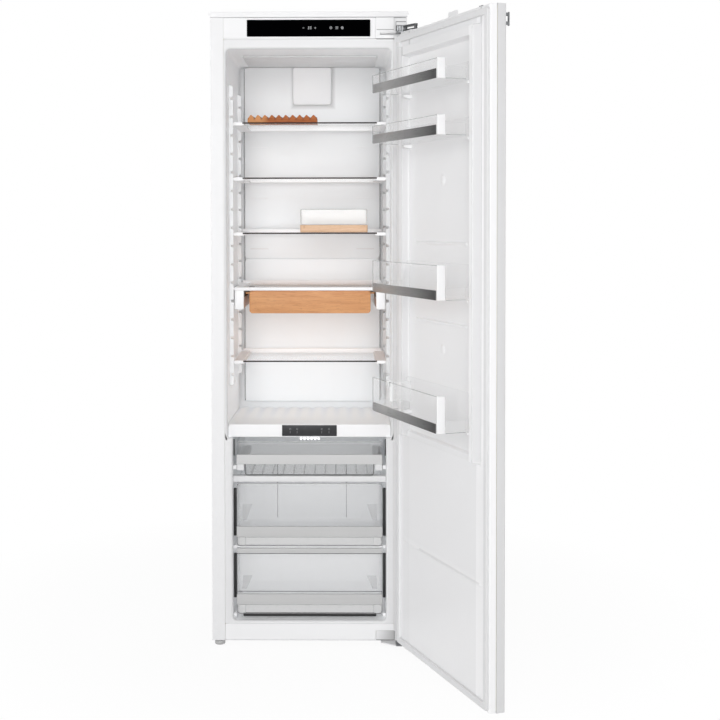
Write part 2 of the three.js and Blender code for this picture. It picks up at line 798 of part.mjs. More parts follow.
// Shelves: tempered glass in a U frame whose side fins slide in the ladder's notches
const shelf = {
  setback: 104,
  depth: 278,
  glassInset: 26,
  glassCorner: 1.5,
  glass: 4,
  ledge: 4.5,
  under: 3,
  columnGap: 4.5,
  web: 3,
  wallGap: 7,
  finRise: 14.4,
  finHigh: 5,
  backHigh: 15,
  backThick: 5,
};
shelf.glassHalf = columnFace - shelf.glassInset;
shelf.bodyOut = columnFace - shelf.columnGap;
shelf.finOut = innerHalf - shelf.wallGap;
const shelfNotches = [1, 4, 7, 10, 14]; // counted down the ladder from its top notch
const shelfTops = shelfNotches.map((k) => ladder.top - k * ladder.pitch - shelf.finRise);
const shelfFront = frontY + shelf.setback;
const shelfBack = shelfFront + shelf.depth;
const webOut = shelf.bodyOut + shelf.web;
function railProfile(z) {
  const low = z - shelf.glass - seat - shelf.under;
  const fin = z + shelf.finRise - ladder.notch / 2 + seat;
  return outline(
    [shelf.glassHalf - shelf.ledge, low],
    [webOut, low],
    [webOut, fin],
    [shelf.finOut, fin],
    [shelf.finOut, fin + shelf.finHigh],
    [shelf.bodyOut, fin + shelf.finHigh],
    [shelf.bodyOut, z],
    [shelf.glassHalf + seat, z],
    [shelf.glassHalf + seat, z - shelf.glass - seat],
    [shelf.glassHalf - shelf.ledge, z - shelf.glass - seat],
  );
}
const shelfFrame = (z) =>
  join(
    bothSides(runBack(railProfile(z), shelfFront, shelfBack + shelf.backThick)),
    box(
      -webOut + shelf.web,
      webOut - shelf.web,
      shelfBack + seat,
      shelfBack + shelf.backThick,
      z - shelf.glass - seat - shelf.under,
      z + shelf.backHigh,
    ),
  );
const shelfGlass = (z) =>
  raised(
    rounded(-shelf.glassHalf, shelf.glassHalf, shelfFront, shelfBack, shelf.glassCorner),
    z - shelf.glass,
    z,
  );

// The fourth shelf also carries the wooden drawer, between two hanging blocks with inward rails
const hangerTop = shelfTops[3];
const hanger = { underGlass: 2.5, overRail: 2, bottom: 938, rail: 8, railThick: 2.5, railZ: 984, frontBar: 7 };
hanger.inner = shelf.glassHalf - hanger.underGlass;
hanger.outer = shelf.bodyOut + hanger.overRail;
const wood = {
  sideGap: 16,
  bottom: 927,
  top: 992,
  wall: 9,
  base: 6,
  depth: 268,
  corner: 9,
  flangeThick: 2.5,
  flangeOut: 12,
  front: 1,
  topCorner: 1,
};
wood.half = hanger.inner - wood.sideGap;
const hangerBlock = join(
  box(hanger.inner, hanger.outer, shelfFront, shelfBack, hanger.bottom, hangerTop - shelf.glass - seat - shelf.under + seat),
  box(
    wood.half + run,
    hanger.inner + seat,
    shelfFront + hanger.rail,
    shelfBack,
    hanger.railZ,
    hanger.railZ + hanger.railThick,
  ),
);
const frontBar = box(
  -hanger.outer,
  hanger.outer,
  shelfFront - hanger.frontBar,
  shelfFront - seat,
  hangerTop - shelf.glass - seat - shelf.under,
  hangerTop,
);
const barEnds = bothSides(
  box(
    shelf.glassHalf + run,
    hanger.outer,
    shelfFront - hanger.frontBar,
    shelfFront + seat,
    hangerTop - shelf.glass - seat - shelf.under,
    hangerTop,
  ),
);
shelfTops.forEach((z, i) => {
  const frame = i === 3 ? join(shelfFrame(z), bothSides(hangerBlock), frontBar, barEnds) : shelfFrame(z);
  addNode(`shelf_${i + 1}_frame`, frame, whitePlastic);
  addNode(`shelf_${i + 1}_glass`, shelfGlass(z), clearGlass);
});

// Wooden drawer: dovetailed box with two top flanges that run on the hanger rails
const woodFront = shelfFront + wood.front;
const woodBox = cut(
  runBack(rounded(-wood.half, wood.half, wood.bottom, wood.top, wood.corner, wood.corner, wood.topCorner, wood.topCorner), woodFront, woodFront + wood.depth),
  box(
    -wood.half + wood.wall,
    wood.half - wood.wall,
    woodFront + wood.wall,
    woodFront + wood.depth - wood.wall,
    wood.bottom + wood.base,
    wood.top + over,
  ),
);
const woodFlangeZ = hanger.railZ + hanger.railThick + seat;
const woodFlange = bothSides(
  box(
    wood.half - seat,
    wood.half + wood.flangeOut,
    woodFront + hanger.rail,
    woodFront + wood.depth - wood.wall,
    woodFlangeZ,
    woodFlangeZ + wood.flangeThick,
  ),
);
addNode("wooden_drawer", join(woodBox, woodFlange), beech);

// Egg tray: wooden bar with a row of scallops, on the first shelf
const egg = { fromEdge: 14.5, pitch: 19.9, humps: 10, high: 21, dip: 11, depth: 112, base: 6, setback: 4, flat: 4 };
egg.left = egg.fromEdge - shelf.glassHalf;
const eggShape = new THREE.Shape();
const eggZ = shelfTops[0] + seat;
const eggRight = egg.left + egg.pitch * egg.humps;
eggShape.moveTo(egg.left, eggZ);
eggShape.lineTo(eggRight, eggZ);
eggShape.lineTo(eggRight, eggZ + egg.high - egg.dip);
for (const k of range(egg.humps)) {
  const x = eggRight - k * egg.pitch;
  eggShape.lineTo(x - egg.pitch / 2 + egg.flat / 2, eggZ + egg.high);
  eggShape.lineTo(x - egg.pitch / 2 - egg.flat / 2, eggZ + egg.high);
  eggShape.lineTo(x - egg.pitch, eggZ + egg.high - egg.dip);
}
const eggFront = shelfFront + egg.setback;
addNode("egg_tray", runBack(eggShape, eggFront, eggFront + egg.depth), beech);

// Butter box: wooden base with a clear lid, on the third shelf
const butter = { fromEdge: 26.5, long: 194, high: 67, base: 21, depth: 100, wall: 2, corner: 6, setback: 4, groove: 3, inset: 5, lidInset: 1 };
butter.right = shelf.glassHalf - butter.fromEdge;
butter.left = butter.right - butter.long;
const butterZ = shelfTops[2] + seat;
const butterFront = shelfFront + butter.setback;
const butterOutline = (inset, corner) =>
  rounded(butter.left + inset, butter.right - inset, butterFront + inset, butterFront + butter.depth - inset, corner);
const butterBase = cut(
  raised(butterOutline(0, butter.corner), butterZ, butterZ + butter.base),
  raised(butterOutline(butter.wall + butter.inset, butter.corner - butter.wall), butterZ + butter.base - butter.groove, butterZ + butter.base + over),
);
addNode("butter_base", butterBase, beech);
const lidZ = butterZ + butter.base + seat;
const butterLid = cut(
  raised(butterOutline(butter.lidInset, butter.corner - butter.lidInset), lidZ, butterZ + butter.high),
  raised(butterOutline(butter.wall + butter.lidInset, butter.corner - butter.wall), lidZ - over, butterZ + butter.high - butter.wall),
);
addNode("butter_lid", butterLid, clearPlastic);

// Cover plate over the drawers: sloping top and a deep front trim with a display
const cover = {
  sideGap: 0.7,
  frontHigh: 36,
  rearDrop: 11,
  plate: 5,
  trimDeep: 22,
  trimWall: 3,
  setback: 16, // clear of the shut door's dikes
  nose: 6,
  rearGap: 2,
  ribs: 12,
  ribHalf: 10,
  ribDeep: 2.6,
  ribStart: 110,
};
cover.half = innerHalf - cover.sideGap;
const coverBottom = drawerZoneTop + seat;
const coverTop = coverBottom + cover.frontHigh;
const coverFront = frontY + cover.setback;
const coverRear = ductFront - cover.rearGap;
const coverShape = outline(
  [coverFront, coverBottom],
  [coverFront + cover.trimWall, coverBottom],
  [coverFront + cover.trimWall, coverTop - cover.plate - cover.nose],
  [coverFront + cover.trimWall + cover.nose, coverTop - cover.plate],
  [coverRear, coverTop - cover.rearDrop - cover.plate],
  [coverRear, coverTop - cover.rearDrop],
  [coverFront + cover.nose, coverTop],
  [coverFront + cover.nose / 4, coverTop - cover.nose / 4],
  [coverFront, coverTop - cover.nose],
);
const display = { half: 77, rise: 2.7, high: 31, thick: 2.2, proud: 0.8, corner: 1.5 };
display.bottom = coverBottom + display.rise;
display.top = display.bottom + display.high;
const coverSide = box(
  cover.half - cover.trimWall,
  cover.half,
  coverFront + cover.trimWall,
  coverRear,
  coverBottom,
  coverTop - cover.rearDrop - seat,
);
// Soft ribs in the plate: wedge-shaped troughs that start behind the nose and deepen to the rear edge
const coverFall = cover.rearDrop / (coverRear - coverFront - cover.nose);
const ribPitch = (2 * cover.half) / (cover.ribs + 0.5);
const plateZ = (y) => coverTop - coverFall * (y - coverFront - cover.nose);
const troughs = range(cover.ribs).map((k) => {
  const x = (k - (cover.ribs - 1) / 2) * ribPitch;
  const y0 = coverFront + cover.ribStart;
  const y1 = coverRear + run;
  return wasm.Manifold.hull([
    [x, y0, plateZ(y0)],
    [x, y0, plateZ(y0) + over],
    [x - cover.ribHalf, y1, plateZ(y1)],
    [x + cover.ribHalf, y1, plateZ(y1)],
    [x, y1, plateZ(y1) - cover.ribDeep],
    [x - cover.ribHalf, y1, plateZ(y1) + over],
    [x + cover.ribHalf, y1, plateZ(y1) + over],
  ]);
});
const coverSolid = cut(
  join(runAcross(coverShape, -cover.half, cover.half), bothSides(coverSide)),
  ...troughs,
  box(
    -display.half - seat,
    display.half + seat,
    coverFront - over,
    coverFront + display.thick - display.proud + seat,
    display.bottom - seat,
    display.top + seat,
  ),
);
addNode("crisper_cover", coverSolid, whitePlastic);
addNode(
  "drawer_display",
  runBack(
    rounded(-display.half, display.half, display.bottom, display.top, display.corner),
    coverFront - display.proud,
    coverFront + display.thick - display.proud,
  ),
  darkPlastic,
);

// Drawer light: small opal lens in a holder behind the cover's trim
const led = { half: 28, high: 6, deep: 12, behind: 4, corner: 3, edge: 1 };
const ledFront = coverFront + cover.trimWall + led.behind;
const ledTop = coverTop - cover.plate - cover.nose;
const ledSolid = join(
  raised(rounded(-led.half, led.half, ledFront, ledFront + led.deep, led.corner), drawerZoneTop - led.high, drawerZoneTop + seat + seat),
  box(-led.half / 2, led.half / 2, ledFront + led.edge, ledFront + led.deep - led.edge, drawerZoneTop, ledTop - seat + cover.plate),
);
addNode("drawer_light", ledSolid, lampWhite);

// Crossbar between the shallow drawer and the two deep ones
const bar = { bottom: barBottom, top: barBottom + stack.bar, setback: 14, deep: 26, wall: 3, corner: 3 };
const barSolid = cut(
  runAcross(
    rounded(frontY + bar.setback, frontY + bar.setback + bar.deep, bar.bottom, bar.top, bar.corner),
    -zoneHalf + seat,
    zoneHalf - seat,
  ),
  box(
    -zoneHalf + bar.wall,
    zoneHalf - bar.wall,
    frontY + bar.setback + bar.wall,
    frontY + bar.setback + bar.deep + over,
    bar.bottom - over,
    bar.top - bar.wall,
  ),
);
addNode("drawer_crossbar", barSolid, whitePlastic);

// Drawers: clear moulded bins with a grip band across the front
const grip = { proud: 6, lip: 3, inset: 1 };
const drawerFront = frontY + drawer.setback;
function bin(half, z0, z1, depth, corner) {
  const outer = runBack(rounded(-half, half, z0, z1, corner, corner, 0, 0), drawerFront, drawerFront + depth);
  const inner = runBack(
    rounded(-half + drawer.wall, half - drawer.wall, z0 + drawer.wall, z1 + over, corner - drawer.wall, corner - drawer.wall, 0, 0),
    drawerFront + drawer.wall,
    drawerFront + depth - drawer.wall,
  );
  return { outer, inner };
}
// A grip is a band that stands proud and turns up behind a finger groove.
function gripBand(half, z0, z1) {
  const y = drawerFront;
  return runAcross(
    outline(
      [y + seat, z0],
      [y + seat, z1 - grip.lip],
      [y - grip.proud + grip.lip, z1 - grip.lip],
      [y - grip.proud + grip.lip, z1],
      [y - grip.proud, z1],
      [y - grip.proud, z0 + grip.lip],
      [y - grip.proud + grip.lip, z0],
    ),
    -half,
    half,
  );
}
// How far each pull band starts above its drawer's underside, and its height
const gripLevels = { upperRise: 0.5, upper: 27, middleRise: 27, middle: 30, lowerRise: 28, lower: 29 };
const bandFrom = (low, high) => [low, low + high];
const grips = {
  upper: bandFrom(upperShoulder + gripLevels.upperRise, gripLevels.upper),
  middle: bandFrom(middleBottom + gripLevels.middleRise, gripLevels.middle),
  lower: bandFrom(lowerBottom + gripLevels.lowerRise, gripLevels.lower),
};
const shoulder = bin(drawer.half, upperShoulder, upperTop, drawer.depth, drawer.shoulderCorner);
const tray = bin(drawer.trayHalf, upperBottom, upperShoulder + drawer.wall, drawer.depth, drawer.corner);
const trayRibs = { count: 12, wide: 2, proud: 1.2, margin: 12 };
const ribs = range(trayRibs.count).map((k) => {
  const span = drawer.trayHalf - drawer.corner - trayRibs.margin / 2;
  const x = -span + (2 * span * k) / (trayRibs.count - 1);
  return box(
    x - trayRibs.wide / 2,
    x + trayRibs.wide / 2,
    drawerFront - trayRibs.proud,
    drawerFront + seat,
    upperBottom + trayRibs.margin / 2,
    upperShoulder + seat,
  );
});
const upperDrawer = join(
  cut(join(shoulder.outer, tray.outer), shoulder.inner.intersect(
    box(-bodyWidth, bodyWidth, frontY, rearY, upperShoulder + drawer.wall, upperTop + over),
  ), tray.inner),
  gripBand(drawer.half, ...grips.upper),
  ...ribs,
);
addNode("upper_drawer", upperDrawer, clearPlastic);
const middle = bin(drawer.half, middleBottom, middleBottom + stack.mid, drawer.depth, drawer.corner);
addNode("middle_drawer", join(cut(middle.outer, middle.inner), gripBand(drawer.half, ...grips.middle)), clearPlastic);
const lower = bin(drawer.half, lowerBottom, lowerBottom + stack.low, drawer.shortDepth, drawer.corner);
addNode("lower_drawer", join(cut(lower.outer, lower.inner), gripBand(drawer.half, ...grips.lower)), clearPlastic);

// Door: all pieces are drawn shut, in one group that turns about the hinge line
const hinge = {
  fromSide: 4.1,
  ahead: 28.8,
  plate: 3,
  pin: 4,
  eye: 9,
  doorPlateLong: 70,
  doorPlateWide: 34,
  rise: 3.3,
  doorPlateCorner: 4,
};
hinge.x = halfBody - hinge.fromSide;
const hingeY = frontY - hinge.ahead;
const door = {
  sideGap: 1,
  linerCorner: 2,
  bottom: 17,
  top: 1706,
  gasket: 12.5,
  flange: 14.5,
  edge: 3,
  linerInset: 1,
  sheet: 1,
  linerWall: 3,
};
door.half = halfBody - door.sideGap;
const doorGroup = new THREE.Group();
doorGroup.position.set(hinge.x, hingeY, 0);
doorGroup.rotation.z = THREE.MathUtils.degToRad(doorOpenDeg);
const shutFrame = new THREE.Group();
shutFrame.position.set(-hinge.x, -hingeY, 0);
doorGroup.add(shutFrame);
fridge.add(doorGroup);

const outerFace = frontY - doorThick;
const linerFace = frontY - door.gasket;
const panelBack = linerFace - door.flange;
const panelPan = cut(
  raised(
    rounded(-door.half, door.half, outerFace, panelBack - seat, door.edge, door.edge, 0, 0),
    door.bottom,
    door.top,
  ),
  box(
    -door.half + door.sheet,
    door.half - door.sheet,
    outerFace + door.sheet,
    panelBack + over,
    door.bottom + door.sheet,
    door.top - door.sheet,
  ),
);
// Hinge plates on the door's top and bottom edges, each with the eye that the pin turns in
function doorPlate(z0, z1) {
  const y0 = outerFace + door.edge;
  const y1 = panelBack + door.flange - seat;
  return cut(
    join(
      raised(rounded(door.half - hinge.doorPlateLong, door.half, y0, y1, hinge.doorPlateCorner), z0, z1),
      rod(hinge.x, hingeY, z0, z1, hinge.eye, 20),
    ),
    rod(hinge.x, hingeY, z0 - over, z1 + over, hinge.pin + seat, 16),
  );
}
const topPlateZ = door.top;
const post = { fromSide: 30, ahead: 41, radius: 3 };
post.x = halfBody - post.fromSide;
const postY = frontY - post.ahead;
const linkZ = topPlateZ + hinge.plate + seat + hinge.plate + seat;
const lowPlateZ = door.bottom - hinge.plate;
const lowLinkTop = lowPlateZ - seat - hinge.plate - seat;
const fixBracket = { fromEdge: 32, bottom: 1658, top: 1688, proud: 8, half: 9, thick: 2 };
fixBracket.x = fixBracket.fromEdge - door.half;
const outerBracket = cut(
  box(fixBracket.x - fixBracket.half, fixBracket.x + fixBracket.half, outerFace - fixBracket.proud, outerFace + seat, fixBracket.bottom, fixBracket.top),
  box(
    fixBracket.x - fixBracket.half + fixBracket.thick,
    fixBracket.x + fixBracket.half - fixBracket.thick,
    outerFace - fixBracket.proud + fixBracket.thick,
    outerFace,
    fixBracket.bottom - over,
    fixBracket.top + over,
  ),
);
const linkPostTop = linkZ + hinge.plate;
const linkPostLow = lowLinkTop - hinge.plate;
const doorPanel = join(
  panelPan,
  doorPlate(topPlateZ - seat, topPlateZ + hinge.plate),
  doorPlate(lowPlateZ, door.bottom + seat),
  rod(post.x, postY, topPlateZ, linkPostTop, post.radius, 12),
  rod(post.x, postY, linkPostLow, door.bottom, post.radius, 12),
  outerBracket,
);
addNode("door_panel", doorPanel, whiteSteel, shutFrame);

// Door liner: flange plate with two long dikes, a top dike and lugs for the bins
const dike = {
  gap: 3, // to the cabinet's opening all round
  wide: 29,
  high: 26,
  rise: 19,
  slope: 4,
  topHigh: 30,
  low: 22,
  lowHigh: 12,
};
dike.outer = innerHalf - dike.gap;
dike.inner = dike.outer - dike.wide;
dike.bottom = drawerZoneTop + dike.rise;
dike.top = liner.ceiling - dike.gap;
const floorLift = 4; // the recess floor stands this far behind the flange face
const linerHalf = door.half - door.linerInset;
const dikeTopY = linerFace + dike.high;
const dikeProfile = (z0, z1) =>
  raised(
    outline(
      [dike.inner, linerFace - seat],
      [dike.outer + dike.slope, linerFace - seat],
      [dike.outer, dikeTopY - dike.slope],
      [dike.outer - dike.slope, dikeTopY],
      [dike.inner + dike.slope, dikeTopY],
      [dike.inner, dikeTopY - dike.slope],
    ),
    z0,
    z1,
  );
const topDike = runAcross(
  outline(
    [linerFace - seat, dike.top - dike.topHigh],
    [dikeTopY - dike.slope, dike.top - dike.topHigh],
    [dikeTopY, dike.top - dike.topHigh + dike.slope],
    [dikeTopY, dike.top - dike.slope],
    [dikeTopY - dike.slope, dike.top],
    [linerFace - seat, dike.top],
  ),
  -dike.outer + dike.slope,
  dike.outer - dike.slope,
);
const lowDike = runAcross(
  outline(
    [linerFace - seat, dike.bottom],
    [linerFace + dike.lowHigh, dike.bottom],
    [linerFace + dike.lowHigh, dike.bottom + dike.low - dike.slope],
    [linerFace - seat, dike.bottom + dike.low],
  ),
  -dike.inner - seat,
  dike.inner + seat,
);

// Door bins: their heights, and the lugs that carry them
const bins = {
  sideGap: 20.5,
  neck: dike.inner - run - run, // between the dikes
  shoulder: dikeTopY + run + run, // where the bin widens over them
  back: linerFace + floorLift + run,
  reach: 97,
  stripCorner: 1,
  innerCorner: 3,
  wall: 2,
  base: 3,
  post: 18,
  postWide: 5,
  corner: 8,
  stripHigh: 23.5,
  stripThick: 1.2,
  stripUp: 0.5,
};
bins.half = dike.outer - bins.sideGap;
bins.front = frontY + bins.reach;
const binLevels = [
  { bottom: 1532, top: 1581, back: 1581 },
  { bottom: 1398, top: 1446, back: 1446 },
  { bottom: 1002.6, top: 1087, back: 1087 },
  { bottom: 683, top: 773, back: 773 },
];
const lug = { reach: 12, high: 10, deep: 22 };
const lugs = binLevels.map(({ bottom }) =>
  bothSides(
    runBack(
      outline(
        [dike.inner + seat, bottom - seat - lug.high],
        [dike.inner + seat, bottom - seat],
        [dike.inner - lug.reach, bottom - seat],
        [dike.inner - lug.reach, bottom - seat - lug.high / 3],
      ),
      linerFace + floorLift - seat,
      linerFace + floorLift + lug.deep,
    ),
  ),
);
// Pressed into the door's recess: two spare ledges and two round bosses, and a long line low down
const pressed = {
  ledgeInset: 47,
  ledgeHigh: 9,
  ledgeOut: 3.2,
  ledgeLevels: [1138, 934],
  boss: 10,
  bossX: -12,
  bossOut: 2.2,
  bossLevels: [1297, 864],
  lineOver: 4,
  lineOut: 1.6,
  lineZ: 315,
};
pressed.ledgeHalf = dike.inner - pressed.ledgeInset;
pressed.lineHalf = dike.outer + pressed.lineOver;
const recessY = linerFace + floorLift;
const ledges = pressed.ledgeLevels.map((z) =>
  runAcross(
    outline(
      [recessY - seat, z - pressed.ledgeHigh],
      [recessY + pressed.ledgeOut, z - pressed.ledgeOut],
      [recessY + pressed.ledgeOut, z],
      [recessY - seat, z],
    ),
    -pressed.ledgeHalf,
    pressed.ledgeHalf,
  ),
);
const bosses = pressed.bossLevels.map((z) => rodAlongY(pressed.bossX, z, recessY - seat, recessY + pressed.bossOut, pressed.boss, 16));
const pressedLine = runAcross(
  outline(
    [linerFace - seat, pressed.lineZ - 2 * pressed.lineOut],
    [linerFace + pressed.lineOut, pressed.lineZ - pressed.lineOut / 2],
    [linerFace + pressed.lineOut, pressed.lineZ + pressed.lineOut / 2],
    [linerFace - seat, pressed.lineZ + 2 * pressed.lineOut],
  ),
  -pressed.lineHalf,
  pressed.lineHalf,
);
const coreHalf = linerHalf - door.linerWall;
const doorCore = (clearance, y0, y1) =>
  box(
    -coreHalf + clearance,
    coreHalf - clearance,
    y0,
    y1,
    door.bottom + door.linerInset + door.linerWall + clearance,
    door.top - door.linerInset - door.linerWall - clearance,
  );
const doorLiner = join(
  cut(
    raised(
      rounded(-linerHalf, linerHalf, panelBack, linerFace, door.linerCorner),
      door.bottom + door.linerInset,
      door.top - door.linerInset,
    ),
    doorCore(0, panelBack - over, linerFace - door.linerWall),
  ),
  box(-dike.inner - seat, dike.inner + seat, linerFace - seat, linerFace + floorLift, dike.bottom, dike.top - dike.topHigh + seat),
  bothSides(dikeProfile(dike.bottom, dike.top - dike.slope - dike.slope)),
  topDike,
  lowDike,
  ...lugs,
  ...ledges,
  ...bosses,
  pressedLine,
);
addNode("door_liner", doorLiner, whitePlastic, shutFrame);

// Door insulation: one slab of foam between the steel pan and the liner
const doorFoam = doorCore(seat, outerFace + door.sheet + seat, linerFace - door.linerWall - seat);
addNode("door_foam", doorFoam, foamYellow, shutFrame);

// Magnetic gasket: a wide foot in the liner's edge and a softer face that meets the cabinet
const gasket = { fromEdge: 2, wide: 17, foot: 10, footHigh: 5, corner: 8, bottom: 24, top: 1697, face: 0.5 };
gasket.outer = door.half - gasket.fromEdge;
function gasketRing(inset, wide, y0, y1) {
  const ring = (shrink, corner) =>
    rounded(
      -gasket.outer + shrink,
      gasket.outer - shrink,
      gasket.bottom + shrink,
      gasket.top - shrink,
      corner,
      corner,
      corner,
      corner,
    );
  return cut(
    runBack(ring(inset, gasket.corner), y0, y1),
    runBack(ring(inset + wide, gasket.corner / 2), y0 - over, y1 + over),
  );
}
const gasketSolid = join(
  gasketRing((gasket.wide - gasket.foot) / 2, gasket.foot, linerFace + seat, linerFace + gasket.footHigh + seat),
  gasketRing(0, gasket.wide, linerFace + gasket.footHigh, frontY - gasket.face),
);
addNode("door_gasket", gasketSolid, rubberWhite, shutFrame);

// Fixing tab on the door's top edge, for the furniture front
const tab = { half: 27, high: 22, thick: 2.5, foot: 16, corner: 5, footCorner: 2 };
const tabY = panelBack - tab.foot;
const tabSolid = join(
  raised(rounded(-tab.half, tab.half, tabY, tabY + tab.foot - run, tab.footCorner), door.top + seat, door.top + seat + tab.thick),
  runBack(
    rounded(-tab.half, tab.half, door.top + seat, door.top + seat + tab.high, 0, 0, tab.corner, tab.corner),
    tabY,
    tabY + tab.thick,
  ),
);
addNode("door_fixing_tab", tabSolid, whitePlastic, shutFrame);

function doorBin({ bottom, top }) {
  const wallZ = bottom + bins.stripHigh + bins.stripHigh / 3;
  const outer = join(
    raised(rounded(-bins.neck, bins.neck, bins.back, bins.shoulder + bins.corner, bins.innerCorner, bins.innerCorner, 0, 0), bottom, top),
    raised(rounded(-bins.half, bins.half, bins.shoulder, bins.front, bins.innerCorner, bins.innerCorner, bins.corner, bins.corner), bottom, top),
  );
  const neckInside = bins.neck - bins.wall;
  const inside = bins.half - bins.postWide;
  const corner = bins.corner - bins.wall;
  const inner = join(
    raised(rounded(-neckInside, neckInside, bins.back + bins.wall, bins.shoulder + bins.corner, bins.wall, bins.wall, 0, 0), bottom + bins.base, top + over),
    raised(
      rounded(-inside, inside, bins.shoulder + bins.wall, bins.front - bins.wall, bins.wall, bins.wall, corner, corner),
      bottom + bins.base,
      top + over,
    ),
  );
  const body = cut(
    outer,
    inner,
    // the end walls dip behind the front posts
    box(
      -bins.half - over,
      bins.half + over,
      bins.back + bins.wall + bins.post,
      bins.front - bins.post,
      wallZ,
      top + over,
    ),
  );
  return body;
}
const stripSolid = (bottom) =>
  runBack(
    rounded(-bins.half + bins.corner, bins.half - bins.corner, bottom + bins.stripUp, bottom + bins.stripUp + bins.stripHigh, bins.stripCorner),
    bins.front + seat,
    bins.front + seat + bins.stripThick,
  );
binLevels.forEach((level, i) => {
  addNode(`door_bin_${i + 1}`, doorBin(level), clearPlastic, shutFrame);
  addNode(`door_bin_${i + 1}_strip`, stripSolid(level.bottom), brushedSteel, shutFrame);
});

// Bottle separator: a clip that slides along the lowest bin's front wall
const separator = { x: 96, wide: 14, thick: 2, reach: 62, high: 52, hang: 12 };
const lowBin = binLevels[3];
const separatorY = bins.front - bins.wall;
const separatorSolid = cut(
  box(
    separator.x - separator.wide / 2,
    separator.x + separator.wide / 2,
    separatorY - run - separator.thick,
    bins.front + run + separator.thick,
    lowBin.top - separator.hang,
    lowBin.top + run + separator.thick,
  ),
  box(
    separator.x - separator.wide,
    separator.x + separator.wide,
    separatorY - run,
    bins.front + run,
    lowBin.top - separator.hang - over,
    lowBin.top + seat,
  ),
);
const separatorBlade = raised(
  rounded(
    separator.x - separator.thick / 2,
    separator.x + separator.thick / 2,
    separatorY - run - separator.reach,
    separatorY - run - separator.thick / 2,
    0,
  ),
  lowBin.top - separator.high,
  lowBin.top,
);
addNode("bottle_separator", join(separatorSolid, separatorBlade), whitePlastic, shutFrame);

// Hinge plates on the cabinet: an arm out of the cover, the pin and the stub for the stay link
const hingeArm = { long: 73, depth: 30, wide: 26, stub: 3.2, stubGap: 0.4, linkOffset: 8 };
hingeArm.root = halfBody - hingeArm.long;
const openTurn = THREE.MathUtils.degToRad(doorOpenDeg);
const pinLine = new THREE.Vector2(hinge.x, hingeY);
const postShut = new THREE.Vector2(post.x, postY);
const postOpen = postShut.clone().rotateAround(pinLine, openTurn);
// The link turns about a point on the line that halves the post's path, so it meets the post shut and open.
const across = postOpen.clone().sub(postShut);
const linkPivot = pinLine.clone().add(new THREE.Vector2(-across.y, across.x).normalize().multiplyScalar(hingeArm.linkOffset));
const armShape = new THREE.Shape();
armShape.moveTo(hingeArm.root, frontY + hingeArm.depth / 2);
armShape.lineTo(hingeArm.root, hingeY - hinge.eye + hingeArm.wide);
armShape.lineTo(hinge.x - hingeArm.wide, hingeY - hinge.eye);
armShape.lineTo(hinge.x, hingeY - hinge.eye);
armShape.absarc(hinge.x, hingeY, hinge.eye, -Math.PI / 2, Math.PI / 2 - 1, false);
armShape.lineTo(halfBody, frontY - over);
armShape.lineTo(flangeInner, frontY - seat);
armShape.lineTo(flangeInner - seat, frontY + hingeArm.depth / 2);
function hingePlate(z0, pinEnd, stubEnd) {
  const z1 = z0 + hinge.plate;
  return join(
    raised(armShape, z0, z1, 6),
    rod(hinge.x, hingeY, Math.min(z0, pinEnd), Math.max(z1, pinEnd), hinge.pin, 16),
    rod(linkPivot.x, linkPivot.y, Math.min(z0, stubEnd), Math.max(z1, stubEnd), hingeArm.stub, 12),
  );
}
const topArmZ = topPlateZ + hinge.plate + seat;
const lowArmZ = lowPlateZ - seat - hinge.plate;
addNode("top_hinge_plate", hingePlate(topArmZ, topPlateZ, linkZ + hinge.plate), zincSteel);
addNode("bottom_hinge_plate", hingePlate(lowArmZ, door.bottom - seat, lowLinkTop - hinge.plate), zincSteel);

// Stay links: flat arms with an eye on the cabinet's stub and a wide eye round the door's post
const link = { eye: 7, farEye: 10, slack: 4, half: 5 };
const linkDirection = postOpen.clone().sub(linkPivot);
const linkTurn = Math.atan2(linkDirection.y, linkDirection.x);
const linkLong = linkDirection.length();
function stayLink(z0) {
  const z1 = z0 + hinge.plate - seat;
  const arm = cut(
    join(
      rod(0, 0, z0, z1, link.eye, 18),
      rod(linkLong, 0, z0, z1, link.farEye, 20),
      box(0, linkLong, -link.half, link.half, z0, z1),
    ),
    rod(0, 0, z0 - over, z1 + over, hingeArm.stub + hingeArm.stubGap, 12),
    rod(linkLong, 0, z0 - over, z1 + over, post.radius + link.slack, 16),
  );
  return arm.rotate([0, 0, THREE.MathUtils.radToDeg(linkTurn)]).translate([linkPivot.x, linkPivot.y, 0]);
}
addNode("top_hinge_link", stayLink(linkZ), zincSteel);
addNode("bottom_hinge_link", stayLink(lowLinkTop - hinge.plate + seat), zincSteel);

// Hinge cover: white cap over the root of the top arm
const coverCap = cut(
  runBack(
    rounded(hingeCover.left, flangeInner - seat, fasciaBottom, skinTop - skin.sheet - seat, hingeCover.corner),
    frontY - hingeCover.proud,
    frontY + moduleDepth - seat,
  ),
  box(
    hingeArm.root - run,
    flangeInner + over,
    frontY - hingeCover.proud - over,
    frontY + moduleDepth + over,
    topArmZ - run,
    topArmZ + hinge.plate + run,
  ),
);
addNode("top_hinge_cover", coverCap, whitePlastic);

export default fridge;
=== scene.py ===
import json
import math

